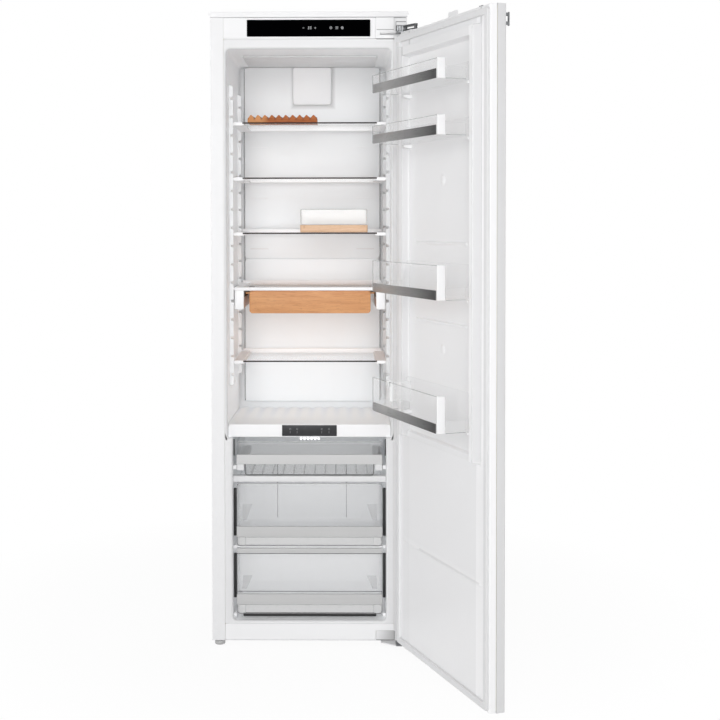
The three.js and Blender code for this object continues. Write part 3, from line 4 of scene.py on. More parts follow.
import bmesh
import bpy
import numpy as np
from mathutils import Matrix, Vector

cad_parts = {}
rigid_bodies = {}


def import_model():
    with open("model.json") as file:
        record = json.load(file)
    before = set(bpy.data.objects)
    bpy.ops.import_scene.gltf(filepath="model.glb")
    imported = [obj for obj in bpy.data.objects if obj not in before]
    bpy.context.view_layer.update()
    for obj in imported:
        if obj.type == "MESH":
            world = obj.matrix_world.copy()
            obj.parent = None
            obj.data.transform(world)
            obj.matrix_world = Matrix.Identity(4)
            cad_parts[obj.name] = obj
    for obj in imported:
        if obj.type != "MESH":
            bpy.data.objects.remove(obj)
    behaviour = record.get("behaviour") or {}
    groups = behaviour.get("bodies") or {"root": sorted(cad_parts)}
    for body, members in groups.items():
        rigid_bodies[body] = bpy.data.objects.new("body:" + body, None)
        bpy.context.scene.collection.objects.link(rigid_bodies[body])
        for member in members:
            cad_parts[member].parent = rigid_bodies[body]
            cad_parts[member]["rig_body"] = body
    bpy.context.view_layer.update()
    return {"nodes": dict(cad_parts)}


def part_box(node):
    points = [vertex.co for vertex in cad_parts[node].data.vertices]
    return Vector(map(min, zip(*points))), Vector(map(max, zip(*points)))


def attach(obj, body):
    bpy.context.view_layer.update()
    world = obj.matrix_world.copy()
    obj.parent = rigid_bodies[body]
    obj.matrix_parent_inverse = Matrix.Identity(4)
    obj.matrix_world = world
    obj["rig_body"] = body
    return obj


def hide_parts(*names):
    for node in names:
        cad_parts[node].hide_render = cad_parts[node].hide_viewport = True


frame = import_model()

# Camera
# It stands three and a half metres before the cabinet at the height of the middle shelves, looking
# a degree and a half down; the shift puts the tall cabinet left of the middle of a square picture.
eye = bpy.data.cameras.new("camera")
eye.sensor_width = 36
eye.lens = 63.805
eye.shift_x = 0.0453
eye.shift_y = -0.1497
camera = bpy.data.objects.new("camera", eye)
heading, pitch, roll = (math.radians(angle) for angle in (0.6, 88.5, -0.0786))
look = Matrix.Rotation(heading, 4, "Z") @ Matrix.Rotation(pitch, 4, "X") @ Matrix.Rotation(roll, 4, "Z")
camera.matrix_world = Matrix.Translation((0.0886, -3.9845, 1.1983)) @ look
bpy.context.scene.collection.objects.link(camera)
bpy.context.scene.camera = camera
bpy.context.scene.view_settings.view_transform = "Standard"
bpy.context.scene.cycles.diffuse_bounces = 8
bpy.context.scene.cycles.max_bounces = 14
bpy.context.scene.cycles.transparent_max_bounces = 24


# Floor, lamps and surroundings
# A pale floor that fades into the white surroundings, two broad soft lamps before the open cabinet,
# a weaker one behind it, and faint ones over the shelves and in the drawers, where little light comes.
def tone(red, green, blue):
    """Linear colour of a tone given as a screen shows it, each part from 0 to 255."""
    share = np.array([red, green, blue]) / 255
    linear = np.where(share > 0.04045, ((share + 0.055) / 1.055) ** 2.4, share / 12.92)
    return (*linear.tolist(), 1.0)


class Wire:
    """A shader socket on which the signs of arithmetic add Math nodes."""

    def __init__(self, finish, socket):
        self.finish = finish
        self.socket = socket

    def maths(self, operation, *others):
        """A Math node whose first value is this socket."""
        return self.finish.add("ShaderNodeMath", {"operation": operation}, (self, *others))

    def __add__(self, other):
        return self.maths("ADD", other)

    def __sub__(self, other):
        return self.maths("SUBTRACT", other)

    def __rsub__(self, other):
        return self.finish.add("ShaderNodeMath", {"operation": "SUBTRACT"}, (other, self))

    def __mul__(self, other):
        return self.maths("MULTIPLY", other)

    def __gt__(self, other):
        return self.maths("GREATER_THAN", other)

    __radd__ = __add__
    __rmul__ = __mul__


class Finish:
    """A material: one Principled shader and the nodes that vary it over the surface."""

    def __init__(self, name, colour, rough, **sockets):
        self.material = bpy.data.materials.new(name)
        self.material.use_nodes = True
        self.tree = self.material.node_tree
        self.shader = self.tree.nodes["Principled BSDF"]
        self.put("Base Color", tone(*colour))
        self.put("Roughness", rough)
        for socket, value in sockets.items():
            self.put(socket.replace("_", " "), value)

    def feed(self, socket, value):
        if isinstance(value, Wire):
            self.tree.links.new(value.socket, socket)
        else:
            socket.default_value = value

    def put(self, socket, value):
        self.feed(self.shader.inputs[socket], value)

    def add(self, kind, settings, values, out=0):
        """One node of a kind: its settings first, then a value or a Wire for each socket."""
        node = self.tree.nodes.new(kind)
        for key, setting in settings.items():
            setattr(node, key, setting)
        pairs = values.items() if isinstance(values, dict) else enumerate(values)
        for key, value in pairs:
            self.feed(node.inputs[key], value)
        return Wire(self, node.outputs[out])

    def place(self, axis):
        """Object coordinate along one axis, in metres."""
        spot = self.add("ShaderNodeTexCoord", {}, {}, out=3)
        return self.add("ShaderNodeSeparateXYZ", {}, [spot], out="XYZ".index(axis))

    def noise(self, scale, detail, stretch=(1, 1, 1)):
        """Noise from 0 to 1 with scale cells to the metre, more of them along a stretched axis."""
        spot = self.add("ShaderNodeTexCoord", {}, {}, out=3)
        spot = self.add("ShaderNodeMapping", {}, {"Vector": spot, "Scale": stretch})
        return self.add("ShaderNodeTexNoise", {}, {"Vector": spot, "Scale": scale, "Detail": detail})

    def span(self, value, low, high, start=0.0, end=1.0):
        """Value carried from low..high to start..end along a straight line, and held outside it."""
        return self.add("ShaderNodeMapRange", {}, [value, low, high, start, end])

    def along(self, axis, *limits):
        """The span of the object coordinate along one axis."""
        return self.span(self.place(axis), *limits)

    def blend(self, share, first, second):
        """Colour from first to second as share goes from 0 to 1."""
        return self.add("ShaderNodeMix", {"data_type": "RGBA"}, {0: share, 6: first, 7: second}, out=2)

    def bump(self, height, depth, strength=1.0):
        """Bends the normal by a height from 0 to 1 that stands for depth metres."""
        sockets = {"Strength": strength, "Distance": depth, "Height": height}
        self.put("Normal", self.add("ShaderNodeBump", {}, sockets))

    def texture(self, scale, detail, depth, strength=1.0):
        """A bump of noise."""
        self.bump(self.noise(scale, detail), depth, strength)

    def shade(self, share, first, second):
        """Tones from first to second as share goes from 0 to 1."""
        self.put("Base Color", self.blend(share, tone(*first), tone(*second)))

    def mottle(self, first, second, *noise):
        """Tones from first to second by noise."""
        self.shade(self.noise(*noise), first, second)

    def wear(self, low, high, *noise):
        """Roughness from low to high by the middle of the noise."""
        self.put("Roughness", self.span(self.noise(*noise), 0.3, 0.7, low, high))


FLOOR_HALF = 9.0
FLOOR_LEVEL = -0.0006
signs = ((-1, -1), (1, -1), (1, 1), (-1, 1))
floor_mesh = bpy.data.meshes.new("floor")
floor_mesh.from_pydata([(x * FLOOR_HALF, y * FLOOR_HALF, FLOOR_LEVEL) for x, y in signs], [], [(0, 1, 2, 3)])
floor = bpy.data.objects.new("floor", floor_mesh)
bpy.context.scene.collection.objects.link(floor)
floor_paint = Finish("floor_paint", (236, 236, 236), 0.9, Specular_IOR_Level=0.0)
floor_x = floor_paint.place("X")
floor_y = floor_paint.place("Y")
far_squared = floor_x * floor_x + floor_y * floor_y
white = floor_paint.add("ShaderNodeEmission", {}, {"Color": (1, 1, 1, 1), "Strength": 1.0})
RAYS = ("Is Camera Ray", "Is Glossy Ray", "Is Transmission Ray")
seen, glossy, through = (floor_paint.add("ShaderNodeLightPath", {}, {}, out=ray) for ray in RAYS)
share = ((seen + glossy + through) > 0.5) * floor_paint.span(far_squared, 0.2, 1.5, 0.94, 1.0)
painted = Wire(floor_paint, floor_paint.shader.outputs[0])
mixed = floor_paint.add("ShaderNodeMixShader", {}, {0: share, 1: painted, 2: white})
floor_paint.tree.links.new(mixed.socket, floor_paint.tree.nodes["Material Output"].inputs[0])
floor_mesh.materials.append(floor_paint.material)

air = bpy.data.worlds.new("surroundings")
air.use_nodes = True
sky = air.node_tree
paths = sky.nodes.new("ShaderNodeLightPath")
shown = paths.outputs[RAYS[0]]
for ray in RAYS[1:]:
    either = sky.nodes.new("ShaderNodeMath")
    either.operation = "MAXIMUM"
    sky.links.new(shown, either.inputs[0])
    sky.links.new(paths.outputs[ray], either.inputs[1])
    shown = either.outputs[0]
strength = sky.nodes.new("ShaderNodeMix")
sky.links.new(shown, strength.inputs["Factor"])
strength.inputs["A"].default_value = 0.33
strength.inputs["B"].default_value = 1.0
sky.nodes["Background"].inputs["Color"].default_value = (1, 1, 1, 1)
sky.links.new(strength.outputs["Result"], sky.nodes["Background"].inputs["Strength"])
bpy.context.scene.world = air


def lamp(name, spot, aim, wide, high, power, mirrored=True):
    """A soft rectangular lamp at spot, turned to shine at aim, in metres; mirrored is whether shiny
    faces show it."""
    light = bpy.data.lights.new(name, "AREA")
    light.shape = "RECTANGLE"
    light.size = wide
    light.size_y = high
    light.energy = power
    holder = bpy.data.objects.new(name, light)
    holder.location = spot
    direction = np.array(aim) - np.array(spot)
    flat = math.hypot(direction[0], direction[1])
    holder.rotation_euler = (math.atan2(flat, -direction[2]), 0, math.atan2(-direction[0], direction[1]))
    holder.visible_camera = False
    holder.visible_glossy = mirrored
    holder.visible_transmission = mirrored
    bpy.context.scene.collection.objects.link(holder)


lamp("lamp_front", (-0.05, -5.6, 1.6), (0, -0.1, 0.95), 2.8, 2.8, 142)
lamp("lamp_left", (-3.2, -2.0, 1.5), (0.3, -0.6, 0.9), 2.2, 2.6, 32)
SHELF_LAMPS = (
    (1.58, 0.1, 0.068), (1.4, 0.1, 0.05), (1.24, 0.1, 0.06), (1.08, 0.1, 0.09), (0.86, 0.08, 0.105),
)
for level, high, power in SHELF_LAMPS:
    name = f"lamp_shelf_{round(level * 1000)}"
    lamp(name, (0, -0.29, level), (0, 0, level), 0.38, high, power, mirrored=False)
lamp("lamp_low", (0, -0.22, 0.765), (0, -0.221, 0.6), 0.36, 0.2, 0.075, mirrored=False)
for level in (0.36, 0.19):
    name = f"lamp_drawer_{round(level * 1000)}"
    lamp(name, (0, -0.39, level), (0, 0, level), 0.34, 0.1, 0.06, mirrored=False)
lamp("lamp_behind", (0.6, 3.6, 2.4), (0, 0.1, 0.9), 2.4, 2.2, 70)


# Outer skin
# The cabinet's wrapper of white pre-painted steel, 1 mm thick, bent round its sides, top and bottom
# with a flange along the front edges.
MM = 0.001
CREASE = math.radians(32)


def finished(name, mesh, body, finish, stands_for, bevel):
    """Puts a mesh in the scene with its finish, edges and body."""
    mesh.materials.append(finish.material)
    mesh.polygons.foreach_set("use_smooth", np.ones(len(mesh.polygons), bool))
    mesh.set_sharp_from_angle(angle=CREASE)
    made = bpy.data.objects.new(name, mesh)
    bpy.context.scene.collection.objects.link(made)
    if bevel:
        rounding = made.modifiers.new("edges", "BEVEL")
        rounding.width = bevel * MM
        rounding.segments = 2
        rounding.limit_method = "ANGLE"
        rounding.angle_limit = CREASE
        rounding.harden_normals = True
    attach(made, body)
    if stands_for:
        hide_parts(*stands_for)


def dressed(name, node, finish, bevel):
    """A copy of a CAD node with its triangles joined into whole faces and its edges rounded."""
    source = frame["nodes"][node]
    form = bmesh.new()
    form.from_mesh(source.data)
    bmesh.ops.remove_doubles(form, verts=form.verts, dist=2e-5)
    bmesh.ops.dissolve_limit(form, angle_limit=math.radians(2), verts=form.verts, edges=form.edges)
    mesh = bpy.data.meshes.new(name)
    form.to_mesh(mesh)
    form.free()
    finished(name, mesh, source["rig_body"], finish, [node], bevel)


steel_white = Finish("painted_steel", (228, 228, 229), 0.36, Specular_IOR_Level=0.45)
steel_white.texture(900, 2, 0.00004, 0.35)
steel_white.wear(0.32, 0.42, 60, 3)
dressed("cabinet_skin", "outer_shell", steel_white, 0.8)

# Rear sheet
# A galvanised steel sheet screwed over the foam at the back, with its dull zinc flowers.
zinc = Finish("zinc_plate", (168, 170, 171), 0.42, Metallic=0.85)
zinc.mottle((150, 152, 154), (186, 188, 189), 55, 3)
zinc.wear(0.34, 0.5, 90, 2)
dressed("rear_sheet", "back_panel", zinc, 0.4)

# Cabinet foam
# Polyurethane blown between skin and liner, seen only where the skin ends.
foam = Finish("blown_foam", (234, 230, 214), 0.9)
foam.mottle((228, 223, 205), (240, 237, 224), 260, 4)
foam.texture(700, 3, 0.0004)


def coat(node, finish):
    """Gives a CAD node that stays in view its finish."""
    for holder in frame["nodes"][node].material_slots:
        holder.material = finish.material


coat("insulation_foam", foam)

# Inner liner
# One vacuum-formed sheet of white plastic: a flat rim round the mouth, a rounded lip, side walls that
# step in beside the drawers, and a raised floor over the compressor.
FRONT = -430.0
BACK = 14.0
HALF = 229.0
ZONE_HALF = 215.0
ZONE_TOP = 585.0
CEILING = 1670.0
FLOOR = 70.0
BAY_FRONT = -171.0
BAY_TOP = 244.6


def stand(flat, level, plane):
    """Points (u, v) of a flat outline put at one level across the plane xy, xz or yz."""
    u, v = np.asarray(flat, float).T
    w = np.broadcast_to(level, u.shape)
    return np.stack({"xy": (u, v, w), "xz": (u, w, v), "yz": (w, u, v)}[plane], 1)


def trace(corners, radii):
    """Outline through corners, each rounded off: corner + r (1 - sin t) towards the corner before it
    + r (1 - cos t) towards the next, t from nought to a right angle."""
    corners = np.array(corners, float)
    before = np.roll(corners, 1, 0) - corners
    after = np.roll(corners, -1, 0) - corners
    before /= np.linalg.norm(before, axis=1, keepdims=True)
    after /= np.linalg.norm(after, axis=1, keepdims=True)
    t = np.linspace(0, math.pi / 2, 6)[None, :, None]
    r = np.broadcast_to(np.asarray(radii, float), len(corners))[:, None, None]
    arcs = corners[:, None] + r * (before[:, None] * (1 - np.sin(t)) + after[:, None] * (1 - np.cos(t)))
    return arcs.reshape(-1, 2)


def outward(points, quads, caps=()):
    """The faces as lists, turned round if the volume that they close, the sum of p0 . (p1 x p2) over
    their triangles, is negative."""
    fans = [np.stack([np.full(len(cap) - 2, cap[0]), cap[1:-1], cap[2:]], -1) for cap in caps]
    triangles = points[np.vstack([quads[:, [0, 1, 2]], quads[:, [0, 2, 3]], *fans])]
    volume = np.einsum("ij,ij->i", triangles[:, 0], np.cross(triangles[:, 1], triangles[:, 2])).sum()
    faces = quads.tolist() + [cap.tolist() for cap in caps]
    return faces if volume > 0 else [face[::-1] for face in faces]


def skin(rings, wrap=False):
    """Joins rings of equally many points, one after the other, by four-sided faces. The first and
    last ring are joined too where wrap is true, and are closed by a face each where it isn't."""
    rings = np.asarray(rings, float)
    at = np.arange(rings.shape[0] * rings.shape[1]).reshape(rings.shape[:2])
    caps = [] if wrap else [at[0][::-1], at[-1]]
    at = np.vstack([at, at[:1]]) if wrap else at
    next_along = np.roll(at, -1, axis=1)
    quads = np.stack([at[:-1], next_along[:-1], next_along[1:], at[1:]], -1).reshape(-1, 4)
    points = rings.reshape(-1, 3)
    return points, outward(points, quads, caps)


def piece(name, body, slot, finish, *shapes, stands_for=(), bevel=0.0):
    """Makes one object of the shapes, which are in millimetres, and puts it on its CAD body."""
    counts = np.cumsum([0] + [len(points) for points, _ in shapes])
    faces = [[int(i + start) for i in face] for (_, some), start in zip(shapes, counts) for face in some]
    mesh = bpy.data.meshes.new(name)
    mesh.from_pydata((np.vstack([points for points, _ in shapes]) * MM).tolist(), [], faces)
    finished(name, mesh, body, finish, stands_for, bevel)


def plastic(name, colour, rough, shine):
    """A moulded plastic with the faint waviness of its mould."""
    made = Finish(name, colour, rough, Specular_IOR_Level=shine)
    made.texture(500, 2, 0.00005, 0.4)
    return made


moulded = plastic("moulded_white", (244, 244, 245), 0.34, 0.45)
moulded.wear(0.3, 0.4, 40, 3)


def both_sides(half):
    """The right half of an outline, and its mirror image walked back down the left."""
    return half + [(-x, z) for x, z in half[::-1]]


def cavity(grow, floor, level):
    """One cross-section of the liner: wide above the drawers, narrower beside them, all grown by grow."""
    wide = HALF + grow
    narrow = ZONE_HALF + grow
    ledge = ZONE_TOP - grow
    low = floor - grow
    high = CEILING + grow
    corners = both_sides([(narrow, low), (narrow, ledge), (wide, ledge), (wide, high)])
    corner = max(12 + grow, 0.5)
    return stand(trace(corners, [corner, 4, 6, corner, corner, 6, 4, corner]), level, "xz")


def rim_outline(level, inset=0.0):
    """The liner's rim, a rectangle with two more points on each side to match the cross-sections."""
    half = 236.7 - inset
    low = 62.0 + inset
    high = 1697.5 - inset
    corners = both_sides([(half, low), (half, 570), (half, 600), (half, high)])
    return stand(trace(corners, [3, 1, 1, 5, 5, 1, 1, 3]), level, "xz")


quarter = np.linspace(0, math.pi / 2, 6)
LIP = 6.0
BACK_ROUND = 12.0
LINER_WALL = 1.8
floor_line = [
    (BAY_TOP, -165), (243.2, -169.2), (239, BAY_FRONT), (78, -172), (72.5, -173.5), (FLOOR, -179),
    (FLOOR, FRONT + LIP),
]
outer_line = [(FLOOR, FRONT + 8.1), (FLOOR, -172.5), (BAY_TOP, -169.5), (BAY_TOP, BACK + LINER_WALL)]
liner_rings = [
    cavity(-BACK_ROUND * (1 - math.sin(t)), BAY_TOP, BACK - BACK_ROUND * (1 - math.cos(t))) for t in quarter
]
liner_rings += [cavity(0, floor, y) for floor, y in floor_line]
liner_rings += [
    cavity(LIP * (1 - math.cos(t)), FLOOR, FRONT + LIP * (1 - math.sin(t))) for t in quarter[1:]
]
liner_rings += [rim_outline(FRONT, 0.6), rim_outline(FRONT + 0.6), rim_outline(FRONT + 8)]
liner_rings += [cavity(LINER_WALL, floor, y) for floor, y in outer_line]
liner_white = plastic("liner_white", (246, 246, 247), 0.34, 0.35)
# Painted light: the rim round the mouth is painted darker, the middle of the cavity (floor, back and ceiling)
# lighter, and the right side wall darker than the left, all on the one white sheet.
depth = liner_white.along("Y", -0.427, -0.415)
wall = liner_white.span(liner_white.place("X").maths("ABSOLUTE"), 0.2275, 0.2289)
sides = liner_white.blend(liner_white.place("X") > 0, tone(251, 252, 253), tone(236, 237, 238))
inside = liner_white.blend(wall, tone(253, 254, 255), sides)
liner_white.put("Base Color", liner_white.blend(depth, tone(222, 222, 223), inside))
piece("liner_shell", "cabinet", "white_plastic", liner_white, skin(liner_rings), stands_for=["inner_liner"])

# Shelf ladders
# Two moulded columns on each side wall, front and rear, notched every 52.6 mm for the shelves' fins.
LADDER_TOP = 1541.6
LADDER_PITCH = 52.6
LADDER_COUNT = 16
NOTCH = 9.0
LADDER_FACE, NOTCH_FACE, WALL_FACE = 218.5, 226.0, 229.6


def ladder(front, long):
    """One column: an outline that drops into the wall at each notch, carried back by long."""
    notches = LADDER_TOP - LADDER_PITCH * np.arange(LADDER_COUNT)[::-1]
    heights = (notches[:, None] + np.array([-0.5, -0.34, 0.34, 0.5]) * NOTCH).ravel()
    faces = np.tile([LADDER_FACE, NOTCH_FACE, NOTCH_FACE, LADDER_FACE], LADDER_COUNT)
    end = [WALL_FACE, LADDER_FACE + 4, LADDER_FACE]
    x = np.concatenate([end, faces, end[::-1]])
    low = notches[0] - 30
    high = notches[-1] + 36
    z = np.concatenate([[low - 3, low - 1, low + 3], heights, [high - 3, high + 1, high + 3]])
    flat = np.stack([x, z], 1)
    return skin([stand(flat, front, "xz"), stand(flat, front + long, "xz")])


def mirrored(shape):
    """A shape and its mirror image across the cabinet's middle plane."""
    points, faces = shape
    other = points * np.array([-1, 1, 1])
    count = len(points)
    return np.vstack([points, other]), faces + [[i + count for i in face[::-1]] for face in faces]


ladder_white = plastic("ladder_white", (247, 248, 249), 0.4, 0.25)
# Painted shade: the ladders on the right wall are painted darker than those on the left.
shaded_right_side = ladder_white.place("X") > 0
ladder_white.shade(shaded_right_side, (250, 251, 252), (226, 227, 228))
piece(
    "shelf_ladders", "cabinet", "white_plastic", ladder_white,
    mirrored(ladder(-338, 16)), mirrored(ladder(-42, 14)), bevel=0.9,
)

# Drawer runners
# Moulded rails on the walls of the drawer zone that carry the three drawers, and the ribs between.


def in_mm(box):
    """Both corners of a box given in metres, in millimetres."""
    return [np.array(corner) / MM for corner in box]


def rectangle(left, right, low, high, inset=0.0):
    """Corners of a rectangle drawn in by inset, anticlockwise from the right low one."""
    return [
        (right - inset, low + inset),
        (right - inset, high - inset),
        (left + inset, high - inset),
        (left + inset, low + inset),
    ]


def carried(left, right, low, high, round, profile, plane="xy", wrap=False):
    """A profile of (inset, level) pairs carried round a rectangle with corners of radius round: each
    pair is one ring, drawn in by the inset, its radius smaller by as much."""
    rings = []
    for inset, level in profile:
        flat = trace(rectangle(left, right, low, high, inset), max(round - inset, 0.02))
        rings.append(stand(flat, level, plane))
    return skin(rings, wrap)


def eased(low, high, edge, steps=3):
    """Profile of a slab from low to high with both edges rounded off by quarter circles."""
    t = np.linspace(0, math.pi / 2, steps + 1)
    inset = edge * (1 - np.sin(t))
    rise = edge * (1 - np.cos(t))
    return [*zip(inset, low + rise), *zip(inset[::-1], high - rise[::-1])]


def slab(x, y, z, round, edge, plane="xy"):
    """A block between the (low, high) of each axis: corners rounded in the plane, edges eased."""
    across, up, deep = {"xy": (x, y, z), "xz": (x, z, y), "yz": (y, z, x)}[plane]
    return carried(*across, *up, round, eased(*deep, edge), plane)


upper_low, upper_high = in_mm(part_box("upper_drawer"))
middle_low, middle_high = in_mm(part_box("middle_drawer"))
lower_low, lower_high = in_mm(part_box("lower_drawer"))
RAIL_IN, RAIL_OUT = 206, 215.4
RAIL_FRONT = -405
rail_rows = [
    (RAIL_IN, (RAIL_FRONT, -90), (upper_low[2] + 14, upper_low[2] + 26)),
    (RAIL_IN, (RAIL_FRONT, -90), (middle_low[2] - 11, middle_low[2] - 1)),
    (186, (-360, -120), (middle_low[2] - 5, middle_low[2] - 0.4)),
    (RAIL_IN, (RAIL_FRONT, -190), (lower_low[2] - 12, lower_low[2] - 1)),
]
runner_shapes = [mirrored(slab((inner, RAIL_OUT), y, z, 2, 1, "yz")) for inner, y, z in rail_rows]
runner_shapes += [slab((-205, 205), (-413, -402), (lower_high[2] + 0.9, middle_low[2] - 0.9), 1, 0.5, "yz")]
piece("drawer_runners", "cabinet", "white_plastic", moulded, *runner_shapes)

# Painted gap shadows
# Dark strips down each side of the drawer zone, a little behind the front, painted for the deep shade in the
# gap beside the drawers.
gap_shadow_paint = Finish("painted_gap_shadow", (22, 22, 23), 0.6)
gap_shadow_paint.texture(600, 2, 0.0001)
gap_shadow_shapes = [
    mirrored(slab((inner, 215.3), (-398, -392), (low, high), 3, 0.8, "xz"))
    for inner, low, high in ((212.2, 530, 576), (206.6, 302, 438), (206.6, 126, 253))
]
piece("gap_shadow_strips", "cabinet", "dark_plastic", gap_shadow_paint, *gap_shadow_shapes)

# Top trim, fascia and base trim
# White mouldings that close the foam at the top and bottom of the front, clipped to the skin.
trim_white = plastic("trim_white", (236, 236, 237), 0.38, 0.35)
trim_white.wear(0.34, 0.44, 50, 3)
dressed("top_moulding", "top_trim", trim_white, 0.9)
dressed("fascia", "control_fascia", trim_white, 0.8)
joint_grey = Finish("joint_shadow", (138, 138, 138), 0.7)
joint_grey.texture(700, 1, 0.0001)
FACE, CAP_FACE, POCKET_FACE = (-430.3, -429.6), (-435.3, -434.7), (-430.1, -429.3)
joint_lines = [
    ((-236, 270), FACE, (1754.4, 1756.2)),
    ((188.5, 236), CAP_FACE, (1721.2, 1722.8)),
    ((188, 238), FACE, (1695.6, 1697.4)),
    ((241.5, 270), FACE, (1743, 1745.4)),
    ((241.4, 243.2), FACE, (1714, 1744)),
    ((187, 239), POCKET_FACE, (15.2, 17.6)),
    ((236.9, 239), POCKET_FACE, (17, 42)),
]
joint_shapes = [slab(*line, 0.4, 0.2, "xz") for line in joint_lines]
piece("trim_joints", "cabinet", "white_plastic", joint_grey, *joint_shapes)
dressed("base_moulding", "base_trim", trim_white, 1.0)
# Painted shade: a flat sheet in the lower hinge's recess, painted darker towards the hinge for the shade in
# the recess.
pocket_shade_paint = Finish("pocket_shade_paint", (214, 214, 215), 0.5)
pocket_shade_share = pocket_shade_paint.along("X", 0.186, 0.239)
pocket_shade_paint.shade(pocket_shade_share, (226, 226, 227), (176, 176, 176))
pocket = slab((186.6, 238.7), (-429.9, -428.6), (16.6, 42.9), 1, 0.3, "xz")
piece("hinge_pocket", "cabinet", "white_plastic", pocket_shade_paint, pocket)

# Control panel
# A strip of black glass set in the fascia, with lit touch marks printed behind it: less, the set
# degrees and more, then three round keys.
panel_black = Finish("black_glass", (2, 2, 3), 0.09, Specular_IOR_Level=0.0)
panel_black.wear(0.08, 0.12, 300, 2)
glass_low, glass_high = in_mm(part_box("control_glass"))
piece(
    "control_strip", "cabinet", "black_glass", panel_black,
    slab(*zip(glass_low, glass_high), 1.6, 0.5, "xz"), stands_for=["control_glass"],
)
mark_ink = Finish("lit_mark", (168, 170, 172), 0.5)
mark_ink.mottle((158, 160, 164), (186, 188, 190), 2000, 1)
MARK_Z = 1727.5
MARK_PROUD, MARK_SUNK = 0.12, 0.05
mark_face = glass_low[1]


def bar_mark(x, z, wide, high):
    """One printed bar centred at x, z, standing a tenth of a millimetre off the glass."""
    y = (mark_face - MARK_PROUD, mark_face + MARK_SUNK)
    return slab((x - wide / 2, x + wide / 2), y, (z - high / 2, z + high / 2), 0.3, 0.02, "xz")


def bead(inner, outer, front, back):
    """Profile of a square bead between two insets and two levels."""
    return [(inner, back), (inner, front), (outer, front), (outer, back)]


def ring_mark(x, z, radius, wide):
    """A printed ring: a square profile carried round a circle."""
    profile = bead(0, wide, mark_face - MARK_PROUD, mark_face + MARK_SUNK)
    return carried(x - radius, x + radius, z - radius, z + radius, radius, profile, "xz", wrap=True)


marks = [bar_mark(-14.3, MARK_Z, 4.6, 1.3)]
marks += [ring_mark(x, MARK_Z + k, 1.9, 0.9) for x in (0.4, 6.2) for k in (-2.2, 2.2)]
marks += [bar_mark(18.6, MARK_Z, 5, 1.3), bar_mark(18.6, MARK_Z, 1.3, 5)]
marks += [ring_mark(62, MARK_Z, 3.6, 1.2), bar_mark(62, MARK_Z + 2, 1.2, 3.6)]
marks += [bar_mark(78.5, MARK_Z + k, 7.6, 1.1) for k in (-2.8, 0, 2.8)]
marks += [ring_mark(93.5, MARK_Z, 3.6, 1.2), bar_mark(93.5, MARK_Z, 2.4, 2.4)]
piece("control_marks", "cabinet", "black_glass", mark_ink, *marks)

# Hinge cover
# A white cap over the root of the upper hinge, split across by a joint line above the arm's slot.
dressed("hinge_cap", "top_hinge_cover", trim_white, 0.9)

# Feet
# Two levelling feet of clear grey plastic under the front corners, each a knurled cup on a stem.
foot_grey = Finish("foot_plastic", (188, 188, 188), 0.35, Alpha=0.75)
foot_grey.texture(900, 1, 0.0001)


def spun(profile, x, y, sides, ribs=0, rib=0.0):
    """A profile of (radius, height) pairs turned about the upright axis at x, y; with ribs, the radius
    swells by rib times the cosine of ribs times the angle."""
    t = np.linspace(0, 2 * math.pi, sides, endpoint=False)
    radius, height = np.array(profile, float).T
    r = radius[:, None] + np.where(radius > 10, rib, 0)[:, None] * np.cos(ribs * t)
    rings = np.stack([x + r * np.cos(t), y + r * np.sin(t), np.broadcast_to(height[:, None], r.shape)], -1)
    return skin(rings)


foot_profile = [
    (8, 0), (12.4, 0), (13.6, 1), (14.2, 3), (14.2, 9), (13.4, 10.6), (11, 11.4), (7, 12), (5, 13),
    (5, 45), (2, 45),
]
for side, sign in (("left", -1), ("right", 1)):
    piece(
        f"levelling_foot_{side}", f"{side}_foot", "foot_plastic", foot_grey,
        spun(foot_profile, 253 * sign, -413, 72, 18, 0.4), stands_for=[f"foot_{side}"],
    )

# Compressor carrier
# A pressed and galvanised steel plate across the bottom of the back, on which everything there stands.
dressed("carrier_plate", "compressor_carrier", zinc, 0.7)

# Compressor
# A hermetic pot of two black-painted steel halves welded round the middle, with its terminal box,
# copper tubes and rubber feet.
pot_black = Finish("pot_paint", (24, 24, 26), 0.42)
pot_black.mottle((18, 18, 20), (40, 40, 42), 70, 4)
pot_black.texture(500, 3, 0.0002)
POT_X, POT_Y = -70.0, -38.0
pot_foot = in_mm(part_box("compressor"))[0][2]
pot_profile = [
    (20, 17), (50, 19), (62, 27), (66, 42), (66.5, 72), (69.5, 72), (69.5, 77), (66, 77), (66, 112),
    (63, 132), (54, 148), (38, 160), (18, 166), (4, 167.5),
]
pot_shapes = [spun([(r, pot_foot + h) for r, h in pot_profile], POT_X, POT_Y, 72)]
for y in ((-80, -60), (-16, 4)):
    pot_shapes.append(slab((-153, 13), y, (pot_foot + 11, pot_foot + 14), 6, 0.6))
pad_profile = [(r, pot_foot + h) for r, h in ((6, 0), (11, 0), (12, 4), (9, 6), (11, 11), (3, 11))]
pot_shapes += [spun(pad_profile, x, y, 28) for x in (-144, 4) for y in (-70, -6)]
pot_shapes += [slab((-7, 17), (-62, -14), (pot_foot + 52, pot_foot + 98), 5, 1.5, "yz")]


def tube(path, radius, up, sides=10):
    """A round bar along a path: circles square to its direction, one axis of each square to up."""
    path = np.asarray(path, float)
    ahead = np.gradient(path, axis=0)
    ahead /= np.linalg.norm(ahead, axis=1, keepdims=True)
    side = np.cross(ahead, up)
    side /= np.linalg.norm(side, axis=1, keepdims=True)
    top = np.cross(side, ahead)
    t = np.linspace(0, 2 * math.pi, sides, endpoint=False)[:, None]
    rings = path[:, None] + radius * (side[:, None] * np.cos(t) + top[:, None] * np.sin(t))
    return skin(rings)


